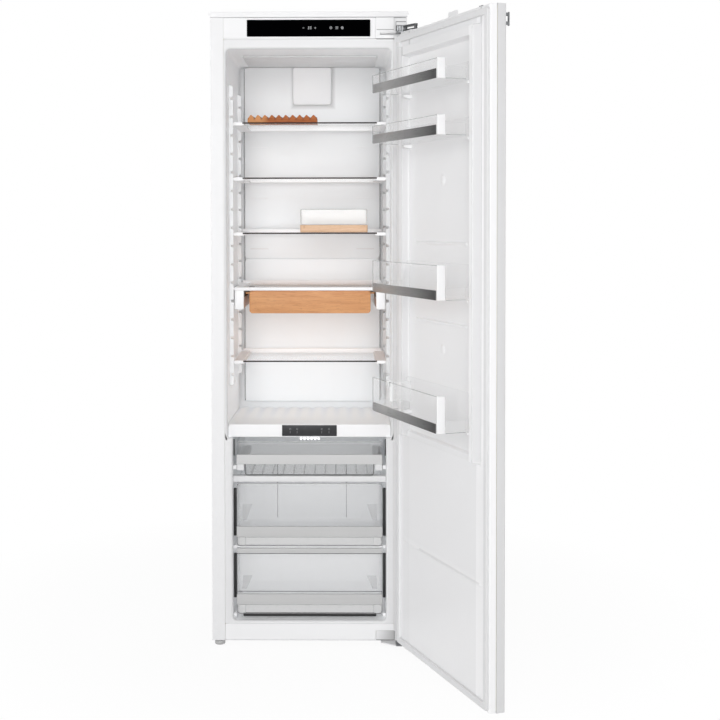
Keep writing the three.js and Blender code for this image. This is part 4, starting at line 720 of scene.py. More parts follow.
def smooth_path(points):
    """A smooth line near the points: each corner replaced by the curve from one leg's middle to the
    next, (1 - t)^2 a + 2 t (1 - t) corner + t^2 b."""
    points = np.array(points, float)
    middles = (points[:-1] + points[1:]) / 2
    t = np.linspace(0, 1, 12, endpoint=False)[None, :, None]
    start = middles[:-1, None]
    corner = points[1:-1, None]
    end = middles[1:, None]
    curve = ((1 - t) ** 2 * start + 2 * t * (1 - t) * corner + t**2 * end).reshape(-1, 3)
    return np.vstack([points[:1], curve, points[-1:]])


piece("compressor_pot", "cabinet", "black_steel", pot_black, *pot_shapes, stands_for=["compressor"])
copper = Finish("copper_tube", (184, 112, 78), 0.35, Metallic=0.9)
copper.mottle((164, 94, 64), (198, 130, 94), 60, 3)
suction = [
    (-110, -20, 120), (-130, -4, 150), (-150, 10, 168), (-175, 14, 180), (-190, 16, 150), (-205, 18, 190),
]
discharge = [
    (-40, -6, 110), (-30, 18, 132), (10, 22, 160), (70, 20, 172), (110, 22, 140), (128, 26, 190),
]
copper_shapes = [tube(smooth_path(line), 3.2, (0, 1, 0.02)) for line in (suction, discharge)]
piece("compressor_tubes", "cabinet", "black_steel", copper, *copper_shapes)

# Power inlet
# The black box at the back with the three-pin inlet that the supply cable plugs into.
inlet_black = Finish("inlet_plastic", (30, 30, 32), 0.5)
inlet_black.texture(800, 2, 0.00012)
dressed("supply_inlet", "power_inlet", inlet_black, 0.7)

# Condenser
# A black-enamelled steel tube in eleven level runs over the rear sheet, with upright wires welded on
# in front of and behind it.
coil_black = Finish("coil_enamel", (28, 28, 30), 0.38)
coil_black.texture(400, 2, 0.0001)
COIL_Y = 55.0
COIL_RUNS = 11
COIL_LOW, COIL_HIGH = 300.0, 1500.0
COIL_HALF = 215.0
step = (COIL_HIGH - COIL_LOW) / (COIL_RUNS - 1)
bend = step / 2
turn = np.linspace(-math.pi / 2, math.pi / 2, 14)
coil_line = []
reach = COIL_HALF - bend
for run in range(COIL_RUNS):
    sign = 1 if run % 2 == 0 else -1
    level = COIL_LOW + run * step
    coil_line += [(x * sign, level) for x in np.linspace(-reach, reach, 8)]
    if run < COIL_RUNS - 1:
        arc_x = sign * (reach + bend * np.cos(turn[1:-1]))
        arc_z = level + bend + bend * np.sin(turn[1:-1])
        coil_line += zip(arc_x, arc_z)
coil_shapes = [tube(stand(coil_line, COIL_Y, "xz"), 2.4, (0, 1, 0))]
for x in np.linspace(-198, 198, 23):
    for y in (COIL_Y - 3.1, COIL_Y + 3.1):
        coil_shapes.append(tube([(x, y, 290), (x, y, 900), (x, y, 1510)], 0.75, (0, 1, 0), 6))
coil_shapes += [mirrored(slab((222, 245), (48.4, 60), (z - 9, z + 9), 3, 0.8, "xz")) for z in (320, 1480)]
piece("condenser_grid", "cabinet", "black_steel", coil_black, *coil_shapes, stands_for=["condenser_coil"])

# Air duct panel
# Two white plastic panels clipped over the evaporator form the back wall, with a seam between them,
# a shadow gap at the sides and five pairs of shallow air slots.
DUCT_Y = -8.0
SEAM = 1074.0
duct_shapes = [
    slab((-210, 210), (DUCT_Y, 9), (SEAM + 0.8, 1668.3), 10, 1.6, "xz"),
    slab((-210, 210), (DUCT_Y, 9), (628.2, SEAM - 0.8), 10, 1.6, "xz"),
    slab((-207, 207), (-4, 12), (640, 1660), 6, 1.0, "xz"),
]
duct_white = plastic("duct_white", (246, 246, 247), 0.36, 0.35)
# Painted shadow: the panel is painted darker round and under the fan plate. Painted light: below 1.16 m it is
# painted lighter than above 1.28 m.
beside = (duct_white.place("X") - 0.003).maths("ABSOLUTE") - 0.06
below = (duct_white.place("Z") - 1.606).maths("ABSOLUTE") - 0.058
shadow = duct_white.span(beside.maths("MAXIMUM", below), 0.0, 0.011)
low_wall_light_share = duct_white.along("Z", 1.16, 1.28, 1.0, 0.0)
wall_painted_light = duct_white.blend(low_wall_light_share, tone(229, 230, 231), tone(241, 244, 246))
duct_white.put("Base Color", duct_white.blend(shadow, tone(194, 194, 195), wall_painted_light))
piece("duct_cover", "cabinet", "white_plastic", duct_white, *duct_shapes, stands_for=["duct_panel"])
slot_dark = Finish("slot_shadow", (232, 232, 233), 0.8)
slot_dark.texture(700, 1, 0.0001)
slot_shapes = [
    mirrored(slab((137, 193), (DUCT_Y - 0.25, DUCT_Y + 1), (z - 2, z + 1), 0.8, 0.1, "xz"))
    for z in 1421 - 157.8 * np.arange(5)
]
piece("duct_slots", "cabinet", "white_plastic", slot_dark, *slot_shapes)
gap_lines = mirrored(slab((210.2, 211.5), (-7, 8), (630, 1664), 0.6, 0.2, "xz"))
piece("duct_gaps", "cabinet", "white_plastic", joint_grey, gap_lines)

# Evaporator and fan
# A roll-bonded aluminium plate behind the duct panel, and the fan that draws air over it.
fin_metal = Finish("evaporator_plate", (196, 199, 202), 0.4, Metallic=0.85)
fin_metal.wear(0.34, 0.48, 80, 3)
coat("evaporator", fin_metal)
coat("fan_motor", inlet_black)
coat("fan_rotor", inlet_black)

# Cover plate
# The square white plate over the fan, high on the back wall, with soft edges; the shadow round it is painted
# on the duct panel.
plate_shape = slab((-60, 60), (-17, -7.5), (1551, 1667), 9, 3.4, "xz")
plate_white = plastic("plate_white", (240, 241, 243), 0.36, 0.35)
# Painted light: the plate is painted darker towards its bottom than towards its top.
rise = plate_white.along("Z", 1.55, 1.65)
plate_white.shade(rise, (222, 222, 223), (238, 238, 239))
piece("fan_plate", "cabinet", "white_plastic", plate_white, plate_shape, stands_for=["fan_cover"])

# Ceiling light
# A long opal lens let into the ceiling, its diffuser a little greyer than the liner.
opal = Finish("opal_lens", (214, 214, 215), 0.3)
opal.mottle((208, 208, 209), (220, 220, 221), 30, 2)
piece(
    "ceiling_lens", "cabinet", "lens", opal,
    slab((-195, 195), (-284, -42), (1664.7, 1670.2), 6, 1.8), stands_for=["ceiling_light"],
)

# Glass shelves
# Five panes of 4 mm toughened glass in white moulded frames: a rail down each side with fins that
# rest in the ladders, a rail along the back, and on the fourth a white nosing in front.
clear_glass = Finish("shelf_glass", (232, 236, 234), 0.06, Alpha=0.09, Specular_IOR_Level=0.5)
clear_glass.wear(0.05, 0.08, 120, 2)
glass_edge = Finish("glass_edge", (44, 38, 34), 0.35, Specular_IOR_Level=0.1)
glass_edge.mottle((34, 29, 26), (56, 48, 43), 90, 2)
SHELF_FRONT = -326.0
SHELF_BACK = -48.0
GLASS_HALF = 192.5
PANE = 4.0
shelf_tops = [float(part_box(f"shelf_{n}_glass")[1][2]) / MM for n in range(1, 6)]


def shelf_frame(z):
    """Both side rails, one outline carried from front to back, and the rail along the rear edge."""
    flat = [
        (191.5, z + 0.5), (213, z + 0.5), (219, z - 1), (221.8, z - 3.2), (221.8, z - 6.6),
        (215, z - 9), (195, z - 9), (187.5, z - 7), (187.5, z - 4.4), (191.5, z - 4.4),
    ]
    rail = skin([stand(flat, SHELF_FRONT, "xz"), stand(flat, SHELF_BACK, "xz")])
    rear = slab((-213, 213), (SHELF_BACK - 5, SHELF_BACK + 5), (z - 7, z + 8), 2, 1, "yz")
    return [mirrored(rail), rear]


for number, z in enumerate(shelf_tops, 1):
    body = f"shelf_{number}"
    shapes = shelf_frame(z)
    front = SHELF_FRONT
    if number == 4:
        shapes.append(slab((-214, 214), (SHELF_FRONT - 7, SHELF_FRONT), (z - 8.6, z + 1.2), 2, 1, "yz"))
        shapes.append(mirrored(slab((190.2, 216), (-326, -70), (938, z - 8), 4, 1.4, "xz")))
        front += 0.5
    piece(f"{body}_rails", body, "white_plastic", moulded, *shapes, stands_for=[f"{body}_frame"], bevel=0.8)
    pane = slab((-GLASS_HALF, GLASS_HALF), (front + 0.9, SHELF_BACK - 4.8), (z - PANE, z), 1, 0.4)
    piece(f"{body}_pane", body, "clear_glass", clear_glass, pane, stands_for=[f"{body}_glass"])
    if number != 4:
        edge = slab((-GLASS_HALF, GLASS_HALF), (front - 0.3, front + 0.85), (z - PANE, z), 0.5, 0.3)
        piece(f"{body}_edge", body, "clear_glass", glass_edge, edge)

# Hanging drawer rails
# Dark steel strips inside the white hangers of the fourth shelf, on which the wooden drawer's
# flanges slide.
rail_steel = Finish("rail_steel", (92, 84, 78), 0.4, Metallic=0.5)
rail_steel.wear(0.34, 0.5, 60, 3, (1, 12, 1))
rail_top = shelf_tops[3] - 9.5
RAIL_SPAN = (-322, -72)
piece(
    "hanger_rails", "shelf_4", "white_plastic", rail_steel,
    mirrored(slab((176, 190.4), RAIL_SPAN, (rail_top - 3, rail_top), 1, 0.6)),
    mirrored(slab((187.5, 190.4), RAIL_SPAN, (974, rail_top), 1, 0.6)),
)

# Wooden drawer
# A shallow box of solid beech, its front board with rounded lower corners, hung under the shelf.
beech = Finish("beech", (196, 140, 96), 0.46, Specular_IOR_Level=0.35)


def grained(wood, light, dark, fleck):
    """Wood whose years run along the width: bands of long noise, and short darker flecks over them."""
    bands = wood.noise(9, 4, (1.2, 9, 14))
    lines = wood.noise(60, 3, (0.5, 6, 10))
    base = wood.blend(wood.span(bands * 0.6 + lines * 0.4, 0.35, 0.65), tone(*light), tone(*dark))
    flecks = wood.span(wood.noise(420, 1, (0.18, 1, 1)), 0.6, 0.68)
    wood.put("Base Color", wood.blend(flecks * 0.22, base, tone(*fleck)))
    wood.put("Roughness", wood.span(lines, 0.3, 0.7, 0.4, 0.55))
    wood.bump(lines, 0.0002, 0.5)


grained(beech, (218, 161, 110), (196, 136, 88), (150, 98, 60))
wood_low, wood_high = in_mm(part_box("wooden_drawer"))
wood_front = float(wood_low[1])


def tub(x, y, z, round, wall, floor):
    """An open box between the (low, high) of each axis: its outline carried up outside, over the rim,
    and down inside to the floor."""
    low, high = z
    lip = 0.6
    profile = [
        (1.2, low), (0.3, low + 0.4), (0, low + 1.4), (0, high - lip), (lip / 2, high),
        (wall - lip / 2, high), (wall, high - lip), (wall, low + floor + 1), (wall + 1, low + floor),
    ]
    return carried(*x, *y, round, profile)


wood_top = wood_high[2]
wood_shapes = [
    carried(-174, 174, 927, wood_top - 0.4, 9, eased(wood_front, wood_front + 9, 1.6), "xz"),
    tub((-172, 172), (wood_front + 8, wood_high[1]), (929, wood_top - 6), 2, 9, 6),
    mirrored(slab((171, 185.6), (wood_front + 12, wood_high[1]), (wood_top - 9.5, wood_top - 5), 1, 0.6)),
]
piece("beech_drawer", "wood_drawer", "beech_wood", beech, *wood_shapes, stands_for=["wooden_drawer"])

# Egg tray
# A block of darker oiled beech on the top shelf, its upper side cut in waves that hold the eggs.
egg_wood = Finish("oiled_beech", (166, 92, 46), 0.55, Specular_IOR_Level=0.2)
grained(egg_wood, (186, 108, 54), (146, 76, 32), (112, 54, 22))
egg_low, egg_high = in_mm(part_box("egg_tray"))
EGG_HUMPS = 10
egg_start, egg_end, egg_top = egg_low[0] * MM, egg_high[0] * MM, egg_high[2] * MM
# Painted shade: the troughs between the humps are painted dark near the top; painted light: the left end is
# painted paler.
cups = (egg_wood.place("X") - egg_start) * (2 * math.pi * EGG_HUMPS / (egg_end - egg_start))
near_top = egg_wood.along("Z", egg_top - 0.017, egg_top - 0.006)
trough_painted_shade = egg_wood.span(cups.maths("COSINE"), 0.2, 1.0) * near_top
pale = egg_wood.along("X", egg_start + 0.04, egg_start + 0.062, 1.0, 0.0) * 0.6
grain = egg_wood.span(egg_wood.noise(60, 3, (0.5, 6, 10)), 0.35, 0.65)
oiled = egg_wood.blend(grain, tone(184, 104, 50), tone(146, 76, 32))
lightened = egg_wood.blend(pale, oiled, tone(226, 164, 106))
egg_wood.put("Base Color", egg_wood.blend(trough_painted_shade * 0.75, lightened, tone(84, 38, 14)))


def grid(first, second):
    """Both coordinates of every point of a grid, the first running along its rows."""
    return np.meshgrid(first, second, indexing="ij")


def wave_block(low, high, humps):
    """A block whose top is high - rise (1 - wave) with wave = (0.5 - 0.5 cos(2 pi humps u)) ^ 0.75,
    deeper in two rows of cups along the depth."""
    u, v = grid(np.linspace(0, 1, 181), np.linspace(0, 1, 41))
    wave = (0.5 - 0.5 * np.cos(2 * math.pi * humps * u)) ** 0.75
    rows = 0.75 + 0.25 * np.cos(4 * math.pi * v)
    top = high[2] - 11.0 * (1 - wave) * rows
    x = low[0] + u * (high[0] - low[0])
    y = low[1] + v * (high[1] - low[1])
    return slabbed(np.stack([x, y, top], -1), np.stack([x, y, np.full_like(x, low[2])], -1))


def slabbed(front, back):
    """Closes two equal grids of points, one behind the other, with faces round their borders."""
    rows, columns = front.shape[:2]
    count = rows * columns
    at = np.arange(count).reshape(rows, columns)
    quads = np.stack([at[:-1, :-1], at[:-1, 1:], at[1:, 1:], at[1:, :-1]], -1).reshape(-1, 4)
    border = np.concatenate([at[0], at[1:, -1], at[-1, -2::-1], at[-2:0:-1, 0]])
    ahead = np.roll(border, -1)
    rim = np.stack([ahead, border, border + count, ahead + count], -1)
    points = np.vstack([front.reshape(-1, 3), back.reshape(-1, 3)])
    return points, outward(points, np.vstack([quads, quads[:, ::-1] + count, rim]))


egg_shape = wave_block(egg_low, egg_high, EGG_HUMPS)
piece("egg_block", "egg_rack", "beech_wood", egg_wood, egg_shape, stands_for=["egg_tray"])

# Butter dish
# A beech base with a clear plastic lid over it, held by two small pins at the front.
pale_beech = Finish("pale_beech", (222, 184, 150), 0.48)
grained(pale_beech, (230, 194, 162), (210, 168, 132), (186, 142, 106))
dish_low, dish_high = in_mm(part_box("butter_base"))
lid_low, lid_high = in_mm(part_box("butter_lid"))
dish_shapes = [tub(*zip(dish_low, dish_high), 6, 8, 12)]


def stud(x, z, face, radius, proud):
    """A domed pin standing out of a front face: circles of radius r cos t, set forward by r sin t."""
    t = np.linspace(0, math.pi / 2 * 0.98, 7)
    u = np.linspace(0, 2 * math.pi, 20, endpoint=False)
    r = np.concatenate([[radius], radius * np.cos(t)])[:, None]
    level = np.concatenate([[face + 0.6], face - proud * np.sin(t)])[:, None]
    rings = np.stack([x + r * np.cos(u), np.broadcast_to(level, (8, 20)), z + r * np.sin(u)], -1)
    return skin(rings)


dish_shapes += [stud(x, dish_high[2] - 4.5, dish_low[1], 3.0, 1.6) for x in (-16.5, 154.5)]
piece("butter_dish_base", "butter_dish", "beech_wood", pale_beech, *dish_shapes, stands_for=["butter_base"])
clear_lid = Finish("lid_plastic", (252, 253, 253), 0.12, Alpha=0.3, Specular_IOR_Level=0.5)
clear_lid.wear(0.1, 0.16, 80, 2)
lid_x, lid_y, lid_z = zip(lid_low, lid_high)
lid_shape = tub(lid_x, lid_y, (-lid_z[1], -lid_z[0]), 6, 2, 2)
lid_shape = (lid_shape[0] * np.array([1, 1, -1]), [face[::-1] for face in lid_shape[1]])
piece("butter_dish_lid", "butter_cover", "clear_plastic", clear_lid, lid_shape, stands_for=["butter_lid"])
lid_edge = Finish("lid_edge", (150, 151, 152), 0.3, Alpha=0.8)
lid_edge.wear(0.26, 0.36, 90, 2)
edge_profile = bead(0.1, 1.6, lid_y[0] - 0.2, lid_y[0] + 0.4)
lid_line = carried(*lid_x, *lid_z, 5, edge_profile, "xz", wrap=True)
piece("butter_lid_edge", "butter_cover", "clear_plastic", lid_edge, lid_line)

# Crisper cover
# The white cover over the drawers: a plate with twelve soft ribs that fade towards the front, a
# rounded nose, and a front trim that holds the display.
cover_low, cover_high = in_mm(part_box("crisper_cover"))
COVER_RIBS = 12
plate_half = cover_high[0] - 0.3


def ribbed_plate():
    """Height = the plate's slope from the nose to its rear edge, less 2.6 mm times a raised cosine of
    the width, times the depth's smooth step, so the ribs fade before they reach the front."""
    u, v = grid(np.linspace(-1, 1, 361), np.linspace(0, 1, 61))
    x = u * plate_half
    y = cover_low[1] + 3 + v * (cover_high[1] - cover_low[1] - 3)
    slope = cover_high[2] - 11.0 * v**1.2 - 2.2 * np.exp(-v * 40)
    fade = np.clip((v - 0.25) / 0.75, 0, 1) ** 1.5
    ribs = (0.5 + 0.5 * np.cos(2 * math.pi * COVER_RIBS * u / 2)) ** 1.5
    z = slope - 2.6 * fade * ribs
    return slabbed(np.stack([x, y, z], -1), np.stack([x, y, slope - 5], -1))


trim_corners = rectangle(cover_low[0], cover_high[0], cover_low[2], cover_high[2])
trim_outline = trace(trim_corners, [1.5, 9, 9, 1.5])
middle = trim_outline.mean(0)


def trim_ring(inset, level):
    """The trim's front outline drawn in towards its middle by inset on each side."""
    half = np.array([cover_high[0], (cover_high[2] - cover_low[2]) / 2])
    return stand(middle + (trim_outline - middle) * (1 - inset / half), level, "xz")


trim_profile = eased(cover_low[1], cover_low[1] + 5.5, 2.2, 5)
cover_shapes = [
    ribbed_plate(),
    skin([trim_ring(inset, level) for inset, level in trim_profile]),
    mirrored(slab((223, 228), (-409, -12), (cover_low[2], cover_high[2] - 13), 1, 0.5, "yz")),
]
cover_white = plastic("cover_white", (250, 252, 255), 0.4, 0.3)
# Painted shade and light: the rib troughs are painted greyer towards the back, the plate a little blue
# against the warm light that the wooden drawer throws on it, and the front of the nose darker than the top.
back_share = cover_white.along("Y", -0.38, -0.1)
wave = (cover_white.place("X") * (math.pi * COVER_RIBS / (plate_half * MM))).maths("COSINE")
rib_trough_shade = back_share * cover_white.span(wave, -0.6, 1.0)
ribbed = cover_white.blend(rib_trough_shade, tone(251, 254, 255), tone(241, 246, 251))
nose = cover_white.along("Y", cover_low[1] * MM + 0.004, cover_low[1] * MM + 0.008)
cover_white.put("Base Color", cover_white.blend(nose, tone(240, 240, 241), ribbed))
piece("crisper_lid", "cabinet", "white_plastic", cover_white, *cover_shapes, stands_for=["crisper_cover"])

# Drawer display and light
# A grey touch panel in the cover's front with four faint marks, and a row of six small lights under
# the trim that shine into the top drawer.
display_grey = Finish("display_grey", (52, 52, 54), 0.3, Specular_IOR_Level=0.2)
display_grey.mottle((46, 46, 48), (58, 58, 60), 60, 2)
shown_low, shown_high = in_mm(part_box("drawer_display"))
mark_face = cover_low[1] - 0.9
shown_x, _, shown_z = zip(shown_low, shown_high)
piece(
    "touch_display", "cabinet", "dark_plastic", display_grey,
    slab(shown_x, (mark_face, cover_low[1] + 1), shown_z, 1.5, 0.5, "xz"), stands_for=["drawer_display"],
)
faint_ink = Finish("faint_mark", (112, 112, 114), 0.4)
faint_ink.mottle((104, 104, 106), (122, 122, 124), 900, 1)
LEFT_KEYS, RIGHT_KEYS = (-54, -34.5), (34.5, 55)
HEAD_Z, STEM_Z = 608, 599
display_marks = [ring_mark(x, HEAD_Z, 2.6, 0.8) for x in LEFT_KEYS]
display_marks += [bar_mark(x, STEM_Z, 1.2, 6) for x in LEFT_KEYS + RIGHT_KEYS]
display_marks += [bar_mark(x, HEAD_Z + k, 5.4, 0.8) for x in RIGHT_KEYS for k in (-2, 0, 2)]
piece("display_marks", "cabinet", "dark_plastic", faint_ink, *display_marks)
lens_low, lens_high = in_mm(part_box("drawer_light"))
piece(
    "drawer_lens", "cabinet", "lens", opal,
    slab(*zip(lens_low - (0, 0, 1), lens_high), 2, 0.8), stands_for=["drawer_light"],
)
glow = Finish("small_light", (255, 255, 255), 0.3, Emission_Strength=1.2)
glow.put("Emission Color", glow.blend(glow.noise(200, 1), tone(250, 252, 255), tone(255, 255, 255)))
glow_shapes = [
    slab((x - 2.5, x + 2.5), (cover_low[1] + 2, cover_low[1] + 6), (577, 583), 2, 1, "xz")
    for x in np.linspace(-24, 26, 6)
]
piece("drawer_lights", "cabinet", "lens", glow, *glow_shapes)

# Crossbar
# A white moulded bar across the drawer zone, between the top drawer and the large one.
bar_low, bar_high = in_mm(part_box("drawer_crossbar"))
bar_white = plastic("bar_white", (220, 220, 221), 0.36, 0.3)
piece(
    "zone_crossbar", "cabinet", "white_plastic", bar_white,
    slab(*zip(bar_low, bar_high), 3.2, 2.2, "yz"), stands_for=["drawer_crossbar"],
)

# Drawers
# Clear injection-moulded boxes. Each front has a proud frosted band to pull it by; the top drawer
# steps in to a ribbed tray below its band.
crystal = Finish("drawer_plastic", (234, 234, 235), 0.14, Alpha=0.12, Specular_IOR_Level=0.35)
crystal.put("Alpha", crystal.along("Y", -0.4145, -0.412, 0.2, 0.07))
crystal.wear(0.11, 0.18, 60, 2)
shallow_clear = Finish("shallow_plastic", (198, 198, 198), 0.14, Alpha=0.12, Specular_IOR_Level=0.35)
shallow_clear.put("Alpha", shallow_clear.along("Y", -0.4145, -0.412, 0.12, 0.07))
frosted = Finish("frosted_band", (198, 198, 198), 0.45, Alpha=0.93, Specular_IOR_Level=0.2)
# Painted light: the top drawer's band is painted lighter than the bands of the two drawers below.
top_band_painted_light = frosted.place("Z") > 0.45
frosted.shade(top_band_painted_light, (198, 198, 198), (208, 208, 208))
frosted.wear(0.4, 0.5, 500, 2)
milky = Finish("milky_plastic", (226, 226, 226), 0.3, Alpha=0.6)
milky.wear(0.26, 0.34, 90, 2)
dark_rim = Finish("rim_shadow", (84, 84, 85), 0.35, Alpha=0.9)
dark_rim.wear(0.3, 0.42, 300, 2)
step_grey = Finish("drawer_steps", (150, 150, 151), 0.3, Alpha=0.2)
step_grey.wear(0.26, 0.36, 200, 2)
outline_grey = Finish("drawer_outline", (128, 128, 129), 0.35, Alpha=0.6)
outline_grey.wear(0.3, 0.42, 300, 2)
DRAWER_HALF = 205.0
DRAWER_FRONT = -418.0
TRAY_HALF = 181.0


def front_slab(half, proud, back, low, high, round, edge):
    """A slab across a drawer's front, from proud of it to back behind its face."""
    return slab((-half, half), (DRAWER_FRONT - proud, DRAWER_FRONT + back), (low, high), round, edge, "xz")


def band(low, high):
    """The frosted band that stands before a drawer's front."""
    return front_slab(204.5, 6, 1.5, low, high, 1.5, 1.4)


def box_drawer(low, high, back):
    """A clear tub with a rolled rim round its top edge."""
    rim = [(-0.6, high - 4), (-0.6, high), (4.2, high), (4.2, high - 1.4), (0.6, high - 1.6), (0.6, high - 4)]
    return [
        tub((-DRAWER_HALF, DRAWER_HALF), (DRAWER_FRONT, back), (low, high), 12, 2.5, 3),
        carried(-DRAWER_HALF, DRAWER_HALF, DRAWER_FRONT, back, 12, rim, wrap=True),
    ]


upper_back = float(upper_high[1])
shoulder_z = upper_low[2] + 31.5
tray_y, tray_z = (DRAWER_FRONT + 1, upper_back - 12), (upper_low[2], shoulder_z + 2)
piece(
    "top_drawer_box", "shallow_drawer", "clear_plastic", shallow_clear,
    *box_drawer(shoulder_z, upper_high[2], upper_back),
    tub((-TRAY_HALF, TRAY_HALF), tray_y, tray_z, 8, 2.5, 3),
    stands_for=["upper_drawer"],
)
top_band = band(shoulder_z + 0.5, shoulder_z + 27.5)
piece("top_drawer_band", "shallow_drawer", "clear_plastic", frosted, top_band)
rib_z = (upper_low[2] + 3, upper_low[2] + 9)
rib_shapes = [slab((x - 2.2, x + 2.2), (-414, -140), rib_z, 1, 0.5, "yz") for x in np.linspace(-162, 162, 12)]
piece("top_drawer_ribs", "shallow_drawer", "clear_plastic", step_grey, *rib_shapes)
tray_bead = bead(0, 2.4, DRAWER_FRONT + 0.4, DRAWER_FRONT + 3)
line_half, line_low, line_high = TRAY_HALF + 0.6, upper_low[2] + 0.1, shoulder_z + 8
tray_line = carried(-line_half, line_half, line_low, line_high, 7, tray_bead, "xz", wrap=True)
piece("top_drawer_outline", "shallow_drawer", "clear_plastic", dark_rim, tray_line)
guides = mirrored(slab((184, 204), (DRAWER_FRONT + 1, -120), (shoulder_z - 18, shoulder_z), 2, 1, "xz"))
piece("top_drawer_guides", "shallow_drawer", "clear_plastic", bar_white, guides)


def corner_pads(low, high):
    """Milky squares behind the front at both lower corners, and a strip between them."""
    square = slab((180, 201), (DRAWER_FRONT - 0.6, DRAWER_FRONT + 4), (low, high), 2, 0.8, "xz")
    return [mirrored(square), front_slab(179, 0.4, 4, low + 1, high - 1, 1, 0.6)]


def front_line(low, high):
    """A thin darker line round a drawer's front, where its side walls and floor are seen edge on."""
    profile = bead(0, 1.7, DRAWER_FRONT - 0.3, DRAWER_FRONT + 1)
    return carried(-DRAWER_HALF, DRAWER_HALF, low, high, 10, profile, "xz", wrap=True)


def side_shade(low, high):
    """Two grey trapezoids inside a drawer's front, the moulded steps of its side walls."""
    flat = [(177, low), (190, low), (188, high), (161, high)]
    return mirrored(skin([stand(flat, DRAWER_FRONT + 4, "xz"), stand(flat, DRAWER_FRONT + 5.2, "xz")]))


BIG_DRAWERS = (
    ("middle_drawer", "deep_drawer", middle_low, middle_high, (305, 334.5), (350, 396)),
    ("lower_drawer", "bottom_drawer", lower_low, lower_high, (114, 143), (156, 194)),
)
for name, body, low, high, band_z, _ in BIG_DRAWERS:
    shapes = box_drawer(low[2], high[2], high[1])
    piece(f"{name}_box", body, "clear_plastic", crystal, *shapes, stands_for=[name])
    piece(f"{name}_band", body, "clear_plastic", frosted, band(*band_z))
for name, body, low, _, band_z, _ in BIG_DRAWERS:
    piece(f"{name}_pads", body, "clear_plastic", milky, *corner_pads(low[2] + 3, band_z[0] - 2))
lip = front_slab(204, 3, 2, 258, lower_high[2], 2, 1)
piece("lower_drawer_lip", "bottom_drawer", "clear_plastic", frosted, lip)
seam_shapes = [front_slab(204, 1, 1, z, z + 1.3, 0.5, 0.2) for z in (149, 256)]
piece("lower_drawer_lines", "bottom_drawer", "clear_plastic", dark_rim, *seam_shapes)
# Painted shadow: a dark strip under the bottom drawer's front stands for the shade in the gap between the
# drawer and the liner floor.
underside_shadow = slab((-188, 188), (-406, -398), (lower_low[2] - 11, lower_low[2] - 1), 2, 1, "xz")
piece("lower_drawer_underside_shadow", "bottom_drawer", "dark_plastic", gap_shadow_paint, underside_shadow)
for name, body, low, high, _, _ in BIG_DRAWERS:
    piece(f"{name}_outline", body, "clear_plastic", outline_grey, front_line(low[2], high[2]))
for name, body, _, _, _, step_z in BIG_DRAWERS:
    piece(f"{name}_steps", body, "clear_plastic", step_grey, side_shade(*step_z))
rear_y = middle_high[1] - 6, middle_high[1] - 3
rear_ribs = mirrored(slab((104, 106.4), rear_y, (286, middle_high[2] - 4), 0.6, 0.3, "xz"))
piece("middle_drawer_ribs", "deep_drawer", "clear_plastic", outline_grey, rear_ribs)

# Door pan
# The door's outer sheet: a shallow pan of painted steel round the foam, drawn here as the CAD has it,
# with its plates for the hinges and the bracket for the furniture front.
pan_white = Finish("door_steel", (224, 224, 225), 0.36, Specular_IOR_Level=0.45)
pan_white.texture(900, 2, 0.00004, 0.35)
dressed("door_pan", "door_panel", pan_white, 0.7)
coat("door_foam", foam)

# Door liner
# A vacuum-formed sheet with a dike down each side and across the top that closes into the cabinet's
# mouth, a shallow recess between them, lugs and ledges for the bins, and a plain lower part.
HINGE_X, HINGE_Y = 268.9, -458.8
DOOR_ANGLE = math.radians(110.72)
TURN_COS, TURN_SIN = math.cos(DOOR_ANGLE), math.sin(DOOR_ANGLE)
LINER_FACE = -442.5
DIKE_OUT, DIKE_IN = 226.0, 197.0
DIKE_LOW, DIKE_TOP = 604.0, 1667.0
BIN_FLOORS = (1532.0, 1398.0, 1002.6, 683.0)
LEDGES = (1138.0, 934.0)
BOSSES = (1297.0, 864.0)
LOW_LINE = 315.0


def swung(shape):
    """A shape drawn for the shut door, turned about the hinge pin to where the open door stands."""
    points, faces = shape
    x = points[:, 0] - HINGE_X
    y = points[:, 1] - HINGE_Y
    turned = [HINGE_X + TURN_COS * x - TURN_SIN * y, HINGE_Y + TURN_SIN * x + TURN_COS * y, points[:, 2]]
    return np.stack(turned, 1), faces


def smooth(value, low, high):
    """Smooth step 3 t^2 - 2 t^3 of value between low and high, which may run downwards."""
    t = np.clip((value - low) / (high - low), 0, 1)
    return t * t * (3 - 2 * t)


def ridge(value, start, full, fade, end):
    """1 from full to fade, and easing down to 0 at start and end."""
    return smooth(value, start, full) * smooth(value, end, fade)


